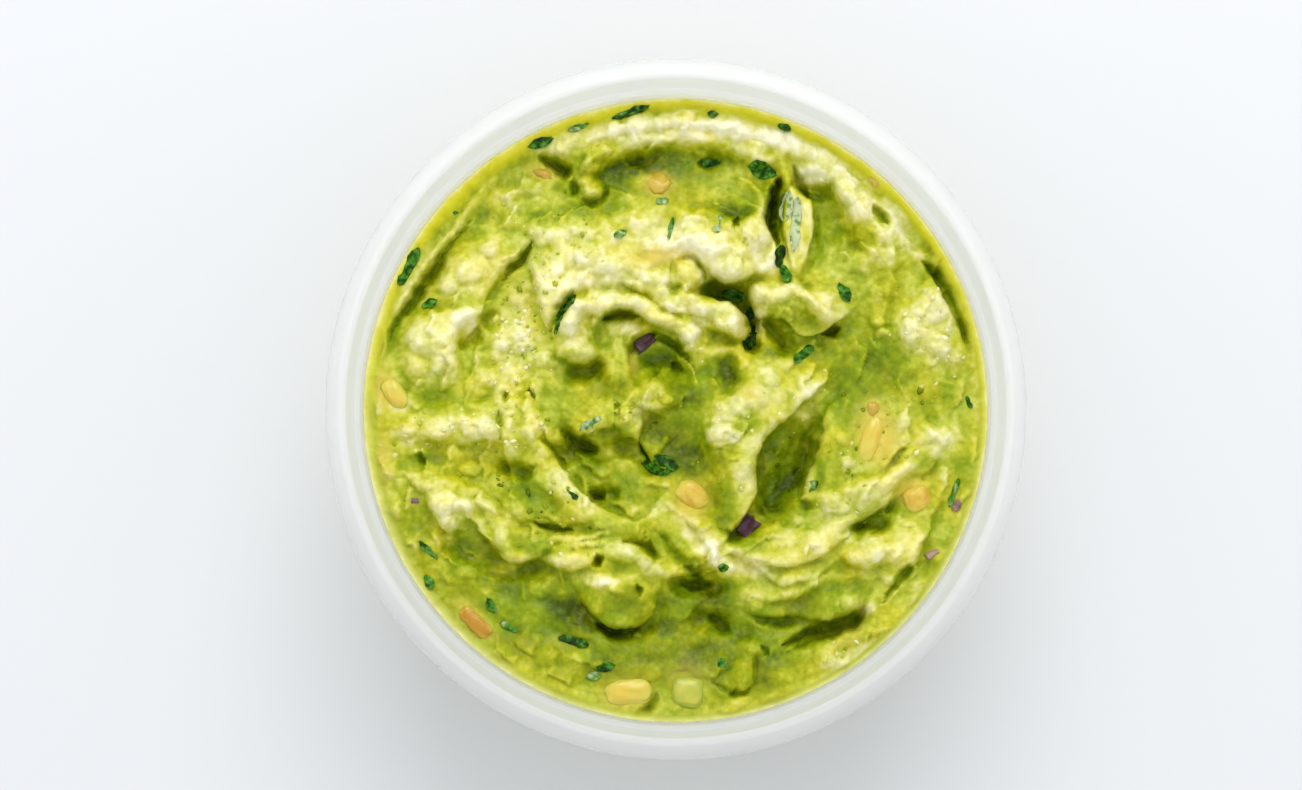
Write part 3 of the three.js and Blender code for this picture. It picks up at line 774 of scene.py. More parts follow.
LUMPS = (
    Lump("round lump", (621, 600), 2.2, (38, 28)),
    Lump("round lump top", (600, 580), 0.8, (15, 9)),
    Lump("drop", (591, 187), 1.8, (15, 14), 20),
    Lump("first lobe a", (474, 270), 1.0, (18, 14), 30),
    Lump("first lobe b", (450, 284), 0.8, (13, 12), 0),
    Lump("first lobe c", (490, 250), 0.7, (12, 9), 30),
    Lump("second lobe a", (428, 340), 1.1, (20, 18)),
    Lump("second lobe b", (464, 316), 1.2, (15, 9), 20),
    Lump("second lobe c", (446, 362), 0.9, (14, 12)),
    Lump("second lobe d", (422, 368), 0.7, (11, 9)),
    Lump("curl end", (580, 350), 1.4, (21, 13), 10),
    Lump("curl left knuckle", (574, 328), 0.6, (9, 12)),
    Lump("curl right end", (737, 326), 1.1, (12, 11)),
    Lump("pea", (691, 275), 2.6, (15, 16)),
    Lump("pea 2", (664, 276), 0.9, (10, 10)),
    Lump("yellow lump", (654, 258), 0.8, (20, 11), 10),
    Lump("bead 1", (412, 424), 0.9, (11, 12)),
    Lump("bead 2", (438, 428), 1.2, (17, 13)),
    Lump("bead 3", (480, 427), 1.4, (19, 14)),
    Lump("bead 4", (534, 424), 1.5, (12, 16)),
    Lump("bead 5", (512, 420), 0.9, (10, 12)),
    Lump("bead 6", (472, 468), 1.2, (12, 8)),
    Lump("bead 7", (560, 438), 0.9, (5, 9)),
    Lump("bead 8", (420, 454), 0.8, (10, 7)),
    Lump("small sphere", (668, 438), 0.6, (5, 5)),
    Lump("white blob", (722, 433), 1.3, (17, 9), 0),
    Lump("flap a", (752, 396), 1.0, (20, 14), -20),
    Lump("flap b", (738, 466), 0.8, (13, 14)),
    Lump("flap c", (742, 412), 0.6, (10, 8)),
    Lump("flap d", (770, 375), 1.0, (16, 12), -10),
    Lump("front left lump", (567, 554), 1.3, (18, 11)),
    Lump("front middle lump", (622, 552), 1.2, (20, 10), -5),
    Lump("front middle lump 2", (645, 560), 0.9, (10, 8)),
    Lump("lower lump 1", (698, 550), 1.2, (13, 9), 20),
    Lump("lower lump 2", (714, 558), 1.2, (6, 12)),
    Lump("right pale lump a", (930, 310), 1.2, (20, 16), 20),
    Lump("right pale lump b", (912, 330), 1.0, (14, 13)),
    Lump("right pale lump c", (940, 345), 0.8, (14, 12)),
    Lump("right small a", (880, 320), 0.8, (9, 7)),
    Lump("right small b", (884, 332), 0.8, (8, 6)),
    Lump("right lump 2", (868, 550), 1.3, (20, 13), 10),
    Lump("right lump 3", (896, 548), 0.8, (11, 9)),
    Lump("right dot", (909, 521), 0.9, (8, 6)),
    Lump("ridge lump a", (822, 160), 1.0, (18, 14), 20),
    Lump("ridge lump b", (846, 192), 1.1, (14, 16), 40),
    Lump("ridge lump c", (862, 215), 0.9, (13, 13)),
    Lump("ridge lump d", (800, 150), 0.7, (12, 10)),
    Lump("ridge lump e", (886, 235), 0.9, (14, 11), 40),
    Lump("ridge lump f", (893, 260), 0.7, (10, 12)),
    Lump("ridge lump g", (780, 140), 0.6, (14, 8), 10),
    Lump("olive lump a", (858, 262), 0.8, (13, 12)),
    Lump("olive lump b", (842, 240), 0.6, (10, 10)),
    Lump("upper lump a", (692, 236), 1.0, (16, 14)),
    Lump("upper lump b", (716, 244), 0.9, (17, 14)),
    Lump("upper lump c", (758, 232), 1.3, (17, 18), 10),
    Lump("upper lump d", (738, 268), 0.9, (18, 11)),
    Lump("upper lump e", (742, 252), 0.6, (11, 9)),
    Lump("third lobe a", (448, 503), 1.3, (17, 13), 20),
    Lump("third lobe b", (424, 486), 0.9, (10, 8)),
    Lump("third lobe c", (468, 505), 0.8, (12, 9)),
    Lump("third lobe d", (450, 522), 0.8, (10, 10)),
    Lump("third lobe e", (470, 490), 0.6, (11, 7)),
    Lump("inner lump", (622, 350), 0.9, (10, 14)),
    Lump("onion lobe", (692, 336), 1.6, (12, 13), -30),
    Lump("grain lump", (652, 388), 1.2, (17, 12)),
    Lump("tongue dome", (614, 412), 1.2, (26, 18)),
    Lump("curl inner strand", (662, 318), 0.8, (24, 6), -15),
    Lump("knob right lobe", (822, 304), 1.4, (16, 20), 20),
    Lump("knob left lobe", (760, 290), 1.0, (12, 10)),
    Lump("slab lump a", (548, 360), 0.8, (14, 10)),
    Lump("slab lump b", (500, 350), 0.6, (10, 12)),
    Lump("slab lump c", (488, 376), 0.8, (13, 10)),
    Lump("slab lump d", (520, 374), 0.6, (12, 9)),
    Lump("low pale lump", (542, 588), 0.8, (13, 11)),
    Lump("low lump b", (470, 572), 0.5, (12, 8)),
    Lump("low lump c", (548, 655), 0.8, (14, 10)),
    Lump("low lump d", (576, 660), 0.6, (12, 9)),
    Lump("low lump e", (500, 652), 0.5, (9, 6)),
    Lump("low right a", (758, 600), 0.9, (11, 9)),
    Lump("low right b", (744, 594), 0.8, (10, 8)),
    Lump("low right c", (790, 588), 0.8, (16, 8)),
    Lump("low right d", (850, 598), 0.9, (10, 9)),
    Lump("low right e", (872, 606), 0.9, (8, 9)),
    Lump("low right f", (720, 660), 0.7, (14, 11)),
    Lump("low right g", (700, 640), 0.6, (11, 8)),
    Lump("low right h", (742, 670), 0.8, (13, 16)),
    Lump("low right i", (780, 676), 0.6, (15, 9)),
    Lump("low right j", (825, 655), 0.6, (12, 8), 20),
    Lump("right plain a", (845, 438), 0.8, (8, 8)),
    Lump("right plain b", (850, 461), 0.8, (11, 7)),
    Lump("right plain c", (926, 432), 0.8, (14, 12)),
    Lump("right plain d", (945, 436), 0.8, (9, 10)),
    Lump("right plain e", (905, 420), 0.6, (10, 10)),
    Lump("slab r a", (830, 498), 0.7, (14, 11)),
    Lump("slab r b", (888, 482), 0.7, (14, 9), 25),
    Lump("slab r c", (860, 494), 0.6, (12, 9)),
    Lump("leaf lump", (784, 538), 0.6, (16, 9)),
    Lump("upper left a", (556, 268), 0.6, (14, 14)),
    Lump("upper left b", (584, 254), 0.6, (16, 13)),
    Lump("upper left c", (612, 226), 0.5, (14, 10)),
    Lump("upper left d", (648, 222), 0.6, (14, 9)),
    Lump("upper left e", (530, 186), 0.7, (14, 9)),
    Lump("upper left f", (508, 192), 0.6, (12, 8)),
    Lump("upper left g", (540, 205), 0.5, (12, 9)),
    Lump("upper left h", (512, 222), 0.5, (12, 8)),
    Lump("upper left i", (482, 196), 0.4, (10, 7), 40),
    Lump("chunk dome", (660, 182), 0.6, (13, 11)),
)

SLITS = (
    Slit("low curve", ((713, 680), (728, 690), (745, 692), (755, 683)), 1.3, 6),
    Slit("between the strands", ((626, 286, 0.5), (640, 292, 1), (654, 299, 0.9), (668, 309, 0.8),
        (682, 317, 0.4)), 1.4, 7),
    Slit("beside the pea", ((674, 262, 0.4), (672, 280, 1), (676, 293, 0.8)), 0.8, 4),
    Slit("over the pea", ((680, 260, 0.5), (692, 257, 1), (702, 264, 1), (706, 276, 0.6)), 1.2, 5),
    Slit("under the ridge", ((608, 168, 0.5), (628, 161, 1), (648, 154, 0.9), (664, 149, 0.5)), 1, 10),
    Slit("under the ridge 2", ((700, 160), (712, 161), (722, 160)), 1.6, 8),
    Slit("round the drop", ((574, 180, 0.5), (577, 192, 0.9), (590, 201, 1), (604, 196, 0.8),
        (609, 184, 0.3)), 1.3, 8),
    Slit("left groove", ((474, 216, 0.1), (451, 243, 0.3), (433, 270, 0.9), (415, 295, 1),
        (401, 318, 0.5), (390, 340, 0.2)), 2, 11),
    Slit("black crevice", ((781, 180, 0.5), (774, 197, 0.9), (771, 214, 1), (774, 230, 0.8),
        (779, 244, 0.3)), 4.2, 9.5),
    Slit("crease wedge", ((533, 242, 0.3), (526, 252, 1), (516, 264, 0.8), (504, 278, 0.3)), 2.6, 8),
    Slit("herb crevice", ((573, 290), (564, 306), (553, 330)), 2.6, 9),
    Slit("wall crevice", ((922, 261, 0.2), (935, 272, 0.8), (946, 290, 0.9), (956, 310, 0.7),
        (962, 322, 0.8), (968, 342, 0.3)), 2, 10),
    Slit("second upper crevice", ((797, 166, 0.4), (800, 180, 0.9), (804, 190, 1), (808, 198, 0.5)),
        2.6, 8),
    Slit("front slit", ((884, 601, 0.15), (893, 588, 0.5), (902, 576, 1), (908, 569, 0.8)), 3.2, 9),
    Slit("right front black", ((860, 526, 0.8), (872, 527, 1), (884, 524, 0.9)), 2.6, 12),
    Slit("under fin", ((684, 584, 0.6), (698, 585, 1), (710, 583, 0.8)), 2.4, 8),
    Slit("front right black", ((863, 615, 1), (845, 620, 1), (822, 627, 0.8), (802, 635, 0.55),
        (784, 643, 0.2)), 3.2, 12),
    Slit("front thin slit", ((534, 521), (553, 527), (576, 528)), 2, 6),
    Slit("crest pocket", ((594, 492), (606, 498)), 1.8, 10),
    Slit("crack", ((756, 654), (757, 680)), 0.8, 4),
    Slit("back left crevice", ((544, 156, 0.6), (556, 162, 1), (567, 170, 0.9)), 3.6, 11),
    Slit("pit a", ((507, 392), (509, 402)), 1.8, 5),
    Slit("pit b", ((531, 388), (534, 400)), 1.8, 5),
    Slit("pit c", ((597, 556), (602, 564)), 3, 9),
    Slit("pit d", ((639, 585), (641, 595)), 1.8, 6),
    Slit("pit e", ((735, 223), (741, 225)), 2.4, 8),
    Slit("knob pit", ((826, 331), (842, 327)), 2.4, 8),
    Slit("flap foot", ((726, 540), (738, 534), (752, 520)), 2.4, 12),
    Slit("ridge slit", ((874, 206), (881, 214), (888, 224)), 2.8, 8),
    Slit("black under lump", ((599, 623), (617, 631), (638, 627)), 3, 10),
    Slit("centre crevice", ((624, 540, 0.3), (642, 544, 0.7), (652, 552, 1), (657, 559, 0.7)), 1.8, 8),
    Slit("long line", ((884, 472), (898, 457), (911, 443)), 1.2, 5),
    Slit("shelf line", ((758, 621), (780, 622), (800, 620)), 1, 6),
    Slit("front dark", ((714, 616, 0.6), (722, 621, 1), (726, 629, 0.8)), 1.8, 9),
    Slit("curl eye", ((604, 316), (618, 311), (638, 314)), 2.6, 9),
    Slit("onion pocket", ((632, 352), (642, 342), (656, 334)), 2.0, 9),
    Slit("under the onion lip", ((660, 338), (676, 344), (688, 353)), 1.5, 5),
    Slit("eye spot", ((674, 363), (683, 369)), 1.6, 7),
    Slit("tongue pocket", ((641, 440), (646, 450), (652, 458)), 1.8, 6),
    Slit("under the tongue", ((568, 434, 0.9), (580, 443, 1), (592, 448, 0.7)), 2.4, 12),
    Slit("fin crevice", ((664, 536), (684, 562), (704, 578)), 0.9, 8),
    Slit("chunk gap", ((636, 714), (649, 708), (657, 694)), 3.4, 9),
    Slit("bead gap", ((500, 410), (500, 426), (502, 440)), 1.2, 4),
    Slit("front pit", ((762, 646), (768, 654)), 1.8, 6),
    Slit("valley right foot", ((816, 424), (810, 450), (799, 474)), 1.6, 12),
    Slit("lobe pits", ((422, 452), (424, 462)), 1.4, 8),
    Slit("knob pocket", ((764, 322), (776, 332), (786, 346)), 1.8, 10),
    Slit("valley foot right", ((802, 500), (812, 508)), 1.4, 9),
)

# Tone patches on the dip, partly painted light and shade. Dark rows under edges, in creases, in pockets and
# on slopes facing away from the lamp are painted shadow and painted shade. Pale rows on lit crests and
# slopes are painted light. The others are the mash's own paler and more olive patches. They also set how
# lumpy the fine relief is.
PAINTED_LIGHT_AND_TONE = (
    Shade("back band left", (600, 139), 0.18, (26, 8), 20),
    Shade("back band far right", (782, 137), 0.18, (24, 12), -25),
    Shade("hook top", (612, 157), 0.1, (16, 7), 20),
    Shade("ridge end", (752, 155), 0.16, (24, 8), -18),
    Shade("over the second crevice", (803, 172), 0.2, (13, 10)),
    Shade("lip right", (764, 258), 0.2, (16, 20)),
    Shade("over the curl", (602, 285), 0.16, (38, 7)),
    Shade("over the pea", (692, 253), 0.3, (20, 8)),
    Shade("beside the pea", (672, 281), 0.16, (7, 10)),
    Shade("strand mid", (702, 318), 0.2, (13, 14)),
    Shade("flap tip", (820, 387), 0.2, (9, 13), -30),
    Shade("tongue top", (642, 414), 0.14, (11, 8)),
    Shade("low left lobe", (494, 601), 0.1, (22, 14), -35),
    Shade("back left dark", (522, 160), -0.18, (16, 8)),
    Shade("back left dark 2", (573, 163), -0.2, (14, 9)),
    Shade("upper left plain", (566, 216), -0.12, (36, 12)),
    Shade("upper centre back", (722, 214), -0.18, (27, 12)),
    Shade("second crevice foot", (804, 193), -0.3, (13, 6), -40),
    Shade("outer ridge a", (858, 190), -0.16, (11, 16), 30),
    Shade("outer ridge b", (886, 219), -0.22, (8, 13), 30),
    Shade("right crease a", (888, 285), -0.16, (9, 18)),
    Shade("wall crevice foot", (965, 331), -0.16, (8, 22), 15),
    Shade("pocket left", (711, 298), -0.24, (10, 6)),
    Shade("grain lump foot", (687, 403), -0.24, (17, 10), 20),
    Shade("tongue foot", (622, 437), -0.18, (22, 12)),
    Shade("flap dark a", (758, 422), -0.16, (26, 9), 25),
    Shade("flap dark b", (730, 453), -0.16, (12, 10)),
    Shade("bowl floor", (630, 488), -0.12, (28, 10)),
    Shade("leaf back dark", (757, 548), -0.2, (18, 5), -8),
    Shade("leaf top dark", (806, 507), -0.16, (14, 7)),
    Shade("leaf right dark", (838, 567), -0.2, (12, 8)),
    Shade("right front dark a", (861, 590), -0.18, (11, 13)),
    Shade("right front dark b", (838, 609), -0.3, (15, 6)),
    Shade("right front dark c", (875, 629), -0.18, (14, 8), 40),
    Shade("fin back", (682, 549), -0.26, (10, 28), 40),
    Shade("right of the facet", (727, 600), -0.16, (14, 22)),
    Shade("low left c", (516, 588), -0.18, (17, 12)),
    Shade("low left d", (562, 612), -0.14, (24, 8), -30),
    Shade("front a", (537, 521), -0.18, (9, 11)),
    Shade("front b", (552, 549), -0.14, (42, 6)),
    Shade("front c", (618, 570), -0.14, (24, 8)),
    Shade("crest side", (549, 448), -0.16, (8, 14), 40),
    Shade("first lobe foot", (455, 304), -0.18, (46, 7), 10),
    Shade("left wall dark", (394, 333), -0.16, (8, 18), -15),
    Shade("left wall dark 2", (397, 420), -0.14, (17, 8)),
    Shade("front plain a", (692, 664), -0.14, (12, 8)),
    Shade("valley floor", (784, 484), -0.22, (17, 18)),
    Shade("tongue pocket", (581, 446), -0.3, (20, 14)),
    Shade("fin start", (652, 506), 0.14, (14, 9)),
    Shade("back of the lumps", (628, 530), -0.22, (36, 9), -12),
    Shade("lump gap", (636, 584), -0.16, (16, 9)),
    Shade("right of the round foot", (664, 625), -0.36, (12, 11)),
    Shade("under the round lump", (621, 629), -0.24, (24, 6)),
    Shade("knob pocket", (768, 348), -0.34, (22, 10)),
    Shade("knob pocket right", (820, 352), -0.2, (14, 8)),
    Shade("knob right", (846, 331), -0.2, (9, 8)),
    Shade("wall lump", (950, 361), 0.14, (11, 14)),
    Shade("flap top back", (738, 388), -0.16, (18, 10)),
    Shade("outside the bowl", (712, 356), -0.14, (18, 7)),
    Shade("bead dark", (432, 458), -0.18, (18, 8)),
    Shade("first lobe top dark", (483, 213), -0.24, (15, 8), 30),
    Shade("first lobe top light", (520, 202), 0.1, (26, 14)),
    Shade("band foot", (528, 330), 0.1, (12, 40)),
    Shade("crevice top", (771, 190), -0.34, (9, 12)),
    Shade("wall crevice back", (935, 243), -0.34, (11, 10), -50),
    Shade("right plain a", (845, 417), -0.16, (20, 14)),
    Shade("slab foot", (905, 506), -0.14, (34, 11), 38),
    Shade("shelf back a", (772, 612), -0.14, (24, 7)),
    Shade("front middle a", (590, 655), -0.08, (20, 12)),
    Shade("curl post", (576, 330), 0.07, (14, 22)),
    Shade("strand end", (734, 318), 0.1, (14, 10), -40),
    Shade("eye floor", (662, 362), -0.08, (24, 12), -15),
    Shade("strand foot", (722, 342), -0.16, (22, 6)),
    Shade("middle bowl left", (622, 468), -0.08, (30, 18)),
    Shade("middle bowl right", (690, 462), -0.12, (44, 16)),
    Shade("centre band", (648, 392), -0.14, (70, 18)),
    Shade("flap back edge", (752, 462), -0.1, (14, 40)),
    Shade("third lobe slope", (545, 503), -0.16, (50, 15), -20),
    Shade("front lumps back", (560, 548), -0.08, (60, 8)),
    Shade("fin", (700, 532), 0.1, (11, 36), 40),
    Shade("under the fin", (700, 566), -0.14, (16, 12)),
    Shade("valley foot left", (766, 508), -0.2, (20, 12)),
    Shade("right foot strip", (823, 468), -0.24, (6, 28), -15),
    Shade("leaf back", (750, 567), 0.3, (24, 9), -14),
    Shade("right front wall", (818, 648), -0.16, (54, 11), 14),
    Shade("wall right", (964, 470), -0.08, (10, 60)),
    Shade("first lobe side", (534, 266), -0.14, (18, 16)),
    Shade("left foot", (468, 320), 0.16, (14, 16), 30),
    Shade("right outer gap", (930, 270), -0.2, (24, 16), -60),
    Shade("back band", (700, 131), 0.2, (130, 11)),
    Shade("upper right a", (828, 202), -0.18, (14, 20)),
    Shade("upper right b", (852, 236), -0.16, (18, 14)),
    Shade("right of the valley", (840, 440), -0.18, (14, 46)),
    Shade("low left dark", (570, 612), -0.34, (32, 14), -35),
    Shade("under the third lobe ridge", (533, 566), -0.16, (22, 8)),
    Shade("low right shelf", (804, 608), -0.24, (22, 9)),
    Shade("hook shadow", (618, 172), -0.3, (30, 12), 18),
    Shade("left of the drop", (568, 188), -0.28, (13, 12)),
    Shade("below the drop", (596, 206), -0.22, (30, 9)),
    Shade("upper left olive", (540, 217), -0.2, (13, 8)),
    Shade("outer slab back", (462, 208), -0.14, (28, 10), 42),
    Shade("back band right", (752, 135), 0.2, (56, 9), -12),
    Shade("outer ridge back", (848, 174), 0.14, (42, 9), -45),
    Shade("outer ridge side", (906, 228), 0.18, (34, 12), -60),
    Shade("crevice", (781, 206), -0.5, (9, 28)),
    Shade("between slab and curl", (602, 278), 0.16, (34, 10)),
    Shade("curl foot", (631, 327), 0.24, (13, 9), -10),
    Shade("curl end front", (582, 374), -0.2, (26, 12)),
    Shade("under the curl end", (714, 331), -0.24, (18, 6)),
    Shade("outside the eye", (714, 350), 0.2, (20, 8)),
    Shade("centre right", (690, 392), -0.24, (24, 12)),
    Shade("centre left", (628, 382), -0.1, (36, 12)),
    Shade("flap back", (728, 374), -0.14, (30, 9)),
    Shade("tongue", (614, 418), -0.12, (24, 16)),
    Shade("left of the tongue", (567, 426), -0.3, (13, 13)),
    Shade("bowl back", (700, 456), -0.26, (42, 14)),
    Shade("bowl top", (662, 438), -0.14, (16, 10)),
    Shade("flap top", (750, 418), -0.18, (14, 14)),
    Shade("flap left foot", (726, 498), -0.34, (12, 30)),
    Shade("flap foot", (714, 524), -0.22, (20, 8)),
    Shade("onion foot", (744, 536), -0.3, (18, 8)),
    Shade("left band", (448, 410), -0.14, (26, 6)),
    Shade("left wall band", (414, 462), -0.16, (24, 9)),
    Shade("under the beads", (478, 454), 0.12, (28, 12)),
    Shade("crest left", (536, 458), 0.08, (20, 13), -40),
    Shade("low left a", (468, 550), -0.18, (27, 11)),
    Shade("low left b", (424, 522), -0.14, (14, 22)),
    Shade("shelf", (532, 542), -0.14, (26, 9)),
    Shade("shelf back", (520, 490), -0.12, (28, 12)),
    Shade("front lumps front", (614, 562), -0.2, (30, 11)),
    Shade("centre crevice", (652, 550), -0.24, (14, 11)),
    Shade("low right slope", (828, 592), -0.26, (32, 12), 15),
    Shade("low right wall", (764, 672), -0.14, (36, 12), 8),
    Shade("low wall", (752, 687), -0.22, (52, 10), 8),
    Shade("low left wall", (570, 672), -0.06, (30, 13), -22),
    Shade("low right back", (740, 584), -0.2, (14, 9)),
    Shade("right a", (888, 362), -0.16, (22, 16)),
    Shade("right b", (940, 396), -0.16, (26, 12)),
    Shade("right c", (938, 442), 0.14, (12, 26)),
    Shade("right line", (900, 458), -0.2, (15, 6), 45),
    Shade("upper left slab", (566, 262), 0.16, (42, 42)),
    Shade("left slab", (470, 268), 0.04, (30, 32), 30),
    Shade("left lump", (434, 336), 0.05, (28, 28)),
    Shade("left scraped band", (514, 338), 0.18, (24, 62), -8),
    Shade("upper centre", (692, 244), 0.12, (62, 24)),
    Shade("beads", (470, 426), 0.05, (86, 18)),
    Shade("left front", (450, 505), 0.05, (34, 22), -20),
    Shade("crest", (566, 490), 0.04, (50, 18), -35),
    Shade("right outer ridge", (850, 200), 0.10, (28, 56), 40),
    Shade("right lumps", (928, 322), 0.1, (28, 36)),
    Shade("flap", (742, 424), 0.12, (28, 56), -25),
    Shade("right slab", (884, 474), 0.02, (46, 20), 25),
    Shade("front lumps", (604, 562), 0.05, (62, 20)),
    Shade("leaves", (790, 545), 0.02, (56, 24)),
    Shade("front wall strip", (848, 654), 0.16, (34, 16), 35),
    Shade("curl", (652, 303), 0.05, (92, 10)),
    Shade("skirt", (610, 352), 0.06, (10, 26)),
    Shade("onion lobe", (697, 332), 0.08, (12, 13)),
    Shade("grain lump", (648, 389), 0.1, (18, 11)),
    Shade("front white", (700, 545), 0.2, (24, 18), -40),
    Shade("sliver", (799, 225), 0.14, (14, 42), -4),
    Shade("round lump top", (600, 578), 0.2, (18, 8)),
    Shade("round lump front", (619, 606), -0.44, (36, 18)),
    Shade("knob facet", (794, 316), -0.24, (30, 18), -15),
    Shade("eye bowl", (664, 360), -0.12, (30, 18), -20),
    Shade("below the grain lump", (674, 432), -0.2, (28, 20)),
    Shade("right of the eye", (728, 368), -0.2, (14, 18)),
    Shade("under the back ridge", (664, 160), -0.22, (72, 13)),
    Shade("back bowl", (670, 180), -0.13, (84, 22)),
    Shade("right plain", (856, 368), -0.20, (46, 38)),
    Shade("front facet", (695, 602), -0.38, (40, 20)),
    Shade("slab white", (650, 226), 0.14, (48, 20)),
    Shade("slab olive", (742, 208), -0.28, (22, 14), 40),
    Shade("back right olive", (866, 238), -0.24, (15, 14)),
    Shade("left of the round lump", (570, 590), -0.2, (24, 22), -40),
    Shade("left pocket", (520, 470), -0.16, (20, 11)),
    Shade("right of the sliver", (823, 236), -0.2, (7, 30)),
    Shade("low left band", (496, 606), -0.20, (86, 42), -32),
    Shade("low middle band", (656, 664), -0.28, (100, 34)),
    Shade("low right band", (752, 640), -0.18, (70, 32), 10),
    Shade("middle bowl", (636, 466), -0.04, (58, 36)),
    Shade("left shade", (500, 470), -0.10, (60, 20)),
    Shade("left olive", (434, 397), -0.14, (28, 12)),
    Shade("valley", (790, 455), -0.08, (24, 56), -25),
    Shade("eye", (676, 366), -0.05, (42, 22)),
    Shade("curl end top", (572, 355), -0.22, (18, 7)),
    Shade("curl end gap", (560, 373), 0.16, (9, 9)),
    Shade("curl post inner", (592, 318), 0.16, (9, 12)),
    Shade("strand gap right", (682, 307), 0.18, (15, 9)),
    Shade("centre skirt", (618, 376), -0.14, (20, 28)),
    Shade("flap back left", (735, 388), -0.14, (18, 20)),
    Shade("bowl back right", (698, 469), -0.22, (20, 8)),
    Shade("tongue pocket right", (604, 450), 0.2, (12, 9)),
    Shade("crest foot", (640, 512), 0.16, (14, 8)),
    Shade("fin side", (692, 538), 0.16, (7, 14), 40),
    Shade("leaf start", (757, 534), -0.22, (18, 11)),
    Shade("valley foot", (764, 514), -0.18, (8, 9)),
    Shade("leaf end", (822, 515), 0.16, (17, 8)),
    Shade("right lump side", (852, 540), 0.16, (7, 14)),
    Shade("right lump foot", (886, 556), 0.16, (12, 9)),
    Shade("right front b", (930, 566), -0.18, (14, 8)),
    Shade("right d", (908, 378), -0.18, (15, 9)),
    Shade("right e", (928, 414), -0.16, (12, 15)),
    Shade("right f", (953, 432), 0.18, (7, 20)),
    Shade("slab back", (857, 465), 0.18, (20, 8)),
    Shade("outer gap foot", (924, 257), 0.24, (9, 9)),
    Shade("outer gap wall", (940, 246), -0.34, (6, 13), 40),
    Shade("slab back right", (737, 167), 0.18, (14, 7)),
    Shade("back wall right", (783, 127), 0.2, (11, 6), -15),
    Shade("ridge right", (814, 177), 0.18, (20, 8)),
    Shade("stalk", (791, 181), -0.2, (5, 8)),
    Shade("second crevice", (808, 197), -0.16, (9, 7)),
    Shade("first lobe outer", (478, 234), -0.14, (14, 26), -35),
    Shade("second lobe pocket", (464, 329), 0.16, (13, 12)),
    Shade("slab foot left", (546, 346), 0.16, (8, 14)),
    Shade("left wall a", (401, 402), 0.3, (13, 9)),
    Shade("bead foot", (416, 444), 0.16, (16, 7)),
    Shade("left pocket side", (506, 482), 0.12, (14, 18)),
    Shade("third lobe foot b", (451, 543), 0.22, (9, 8)),
    Shade("third lobe foot c", (508, 568), 0.22, (13, 7)),
    Shade("round lump side", (654, 612), 0.16, (8, 14)),
    Shade("facet back", (672, 590), -0.16, (8, 12)),
    Shade("facet right", (704, 597), -0.16, (12, 8)),
    Shade("low vein", (582, 656), 0.18, (9, 22)),
    Shade("low left g", (560, 594), 0.16, (11, 8)),
    Shade("front e", (706, 694), 0.22, (9, 8)),
    Shade("front f", (636, 690), 0.14, (32, 9)),
    Shade("front wall right", (852, 640), -0.24, (20, 8), 35),
    Shade("front right end", (865, 610), 0.36, (7, 7)),
    Shade("pocket right", (786, 352), -0.18, (9, 8)),
    Shade("right of the crevice 1", (774, 270), 0.2, (12, 8)),
    Shade("right of the crevice 2", (759, 322), 0.3, (8, 18)),
    Shade("right of the crevice 5", (808, 412), 0.2, (12, 26), 20),
    Shade("right of the crevice 6", (812, 388), 0.2, (10, 10)),
    Shade("valley and flap 1", (776, 452), -0.2, (14, 9)),
    Shade("valley and flap 2", (758, 470), -0.16, (8, 12)),
    Shade("valley and flap 3", (800, 478), -0.16, (8, 12)),
    Shade("valley and flap 4", (822, 470), -0.2, (5, 14)),
    Shade("valley and flap 5", (738, 422), -0.2, (9, 9)),
    Shade("valley and flap 7", (645, 416), 0.16, (6, 12)),
    Shade("valley and flap 8", (632, 465), 0.16, (14, 7)),
    Shade("valley and flap 9", (594, 463), -0.18, (16, 8)),
    Shade("valley and flap 12", (608, 516), -0.16, (12, 6)),
    Shade("valley and flap 14", (806, 510), -0.16, (8, 10)),
    Shade("left and back 1", (488, 322), -0.16, (9, 14)),
    Shade("left and back 3", (528, 186), -0.16, (9, 5)),
    Shade("left and back 6", (616, 190), -0.2, (12, 6)),
    Shade("left and back 7", (688, 175), -0.16, (14, 6)),
    Shade("left and back 9", (598, 154), -0.2, (9, 7), 30),
    Shade("middle 2", (704, 274), 0.2, (6, 12)),
    Shade("middle 3", (694, 290), 0.16, (10, 6)),
    Shade("middle 5", (705, 330), 0.2, (7, 12)),
    Shade("middle 9", (696, 566), -0.26, (9, 12)),
    Shade("middle 10", (656, 378), -0.16, (10, 8)),
    Shade("right and front 1", (807, 620), -0.16, (6, 10)),
    Shade("right and front 3", (874, 528), -0.16, (12, 6)),
    Shade("right and front 8", (930, 282), -0.16, (8, 12), 40),
    Shade("right and front 14", (806, 234), -0.2, (5, 9)),
)


SMEARS = (
    Shade("front left", (628, 694), 0.5, (26, 18), 4),
    Shade("front", (690, 677), 0.35, (22, 17), -10),
    Shade("right", (879, 434), 1, (19, 32), 14),
    Shade("far right", (912, 488), 0.7, (20, 11), 25),
    Shade("middle", (692, 500), 0.8, (17, 19), -10),
    Shade("left", (386, 388), 0.85, (13, 20), 20),
    Shade("left front", (478, 620), 0.55, (26, 10), -42),
    Shade("back", (544, 172), 0.6, (15, 8), -15),
    Shade("bowl", (660, 182), 0.8, (16, 13)),
    Shade("slab", (658, 257), 0.8, (27, 10), 4),
    Shade("left wall", (384, 455), 0.6, (10, 22), 8),
    Shade("band", (522, 296), 0.3, (14, 20)),
    Shade("flap", (752, 394), 0.5, (14, 10), -15),
    Shade("skirt", (634, 362), 0.5, (6, 12)),
    Shade("front wall", (848, 642), 0.4, (18, 8), 35),
)


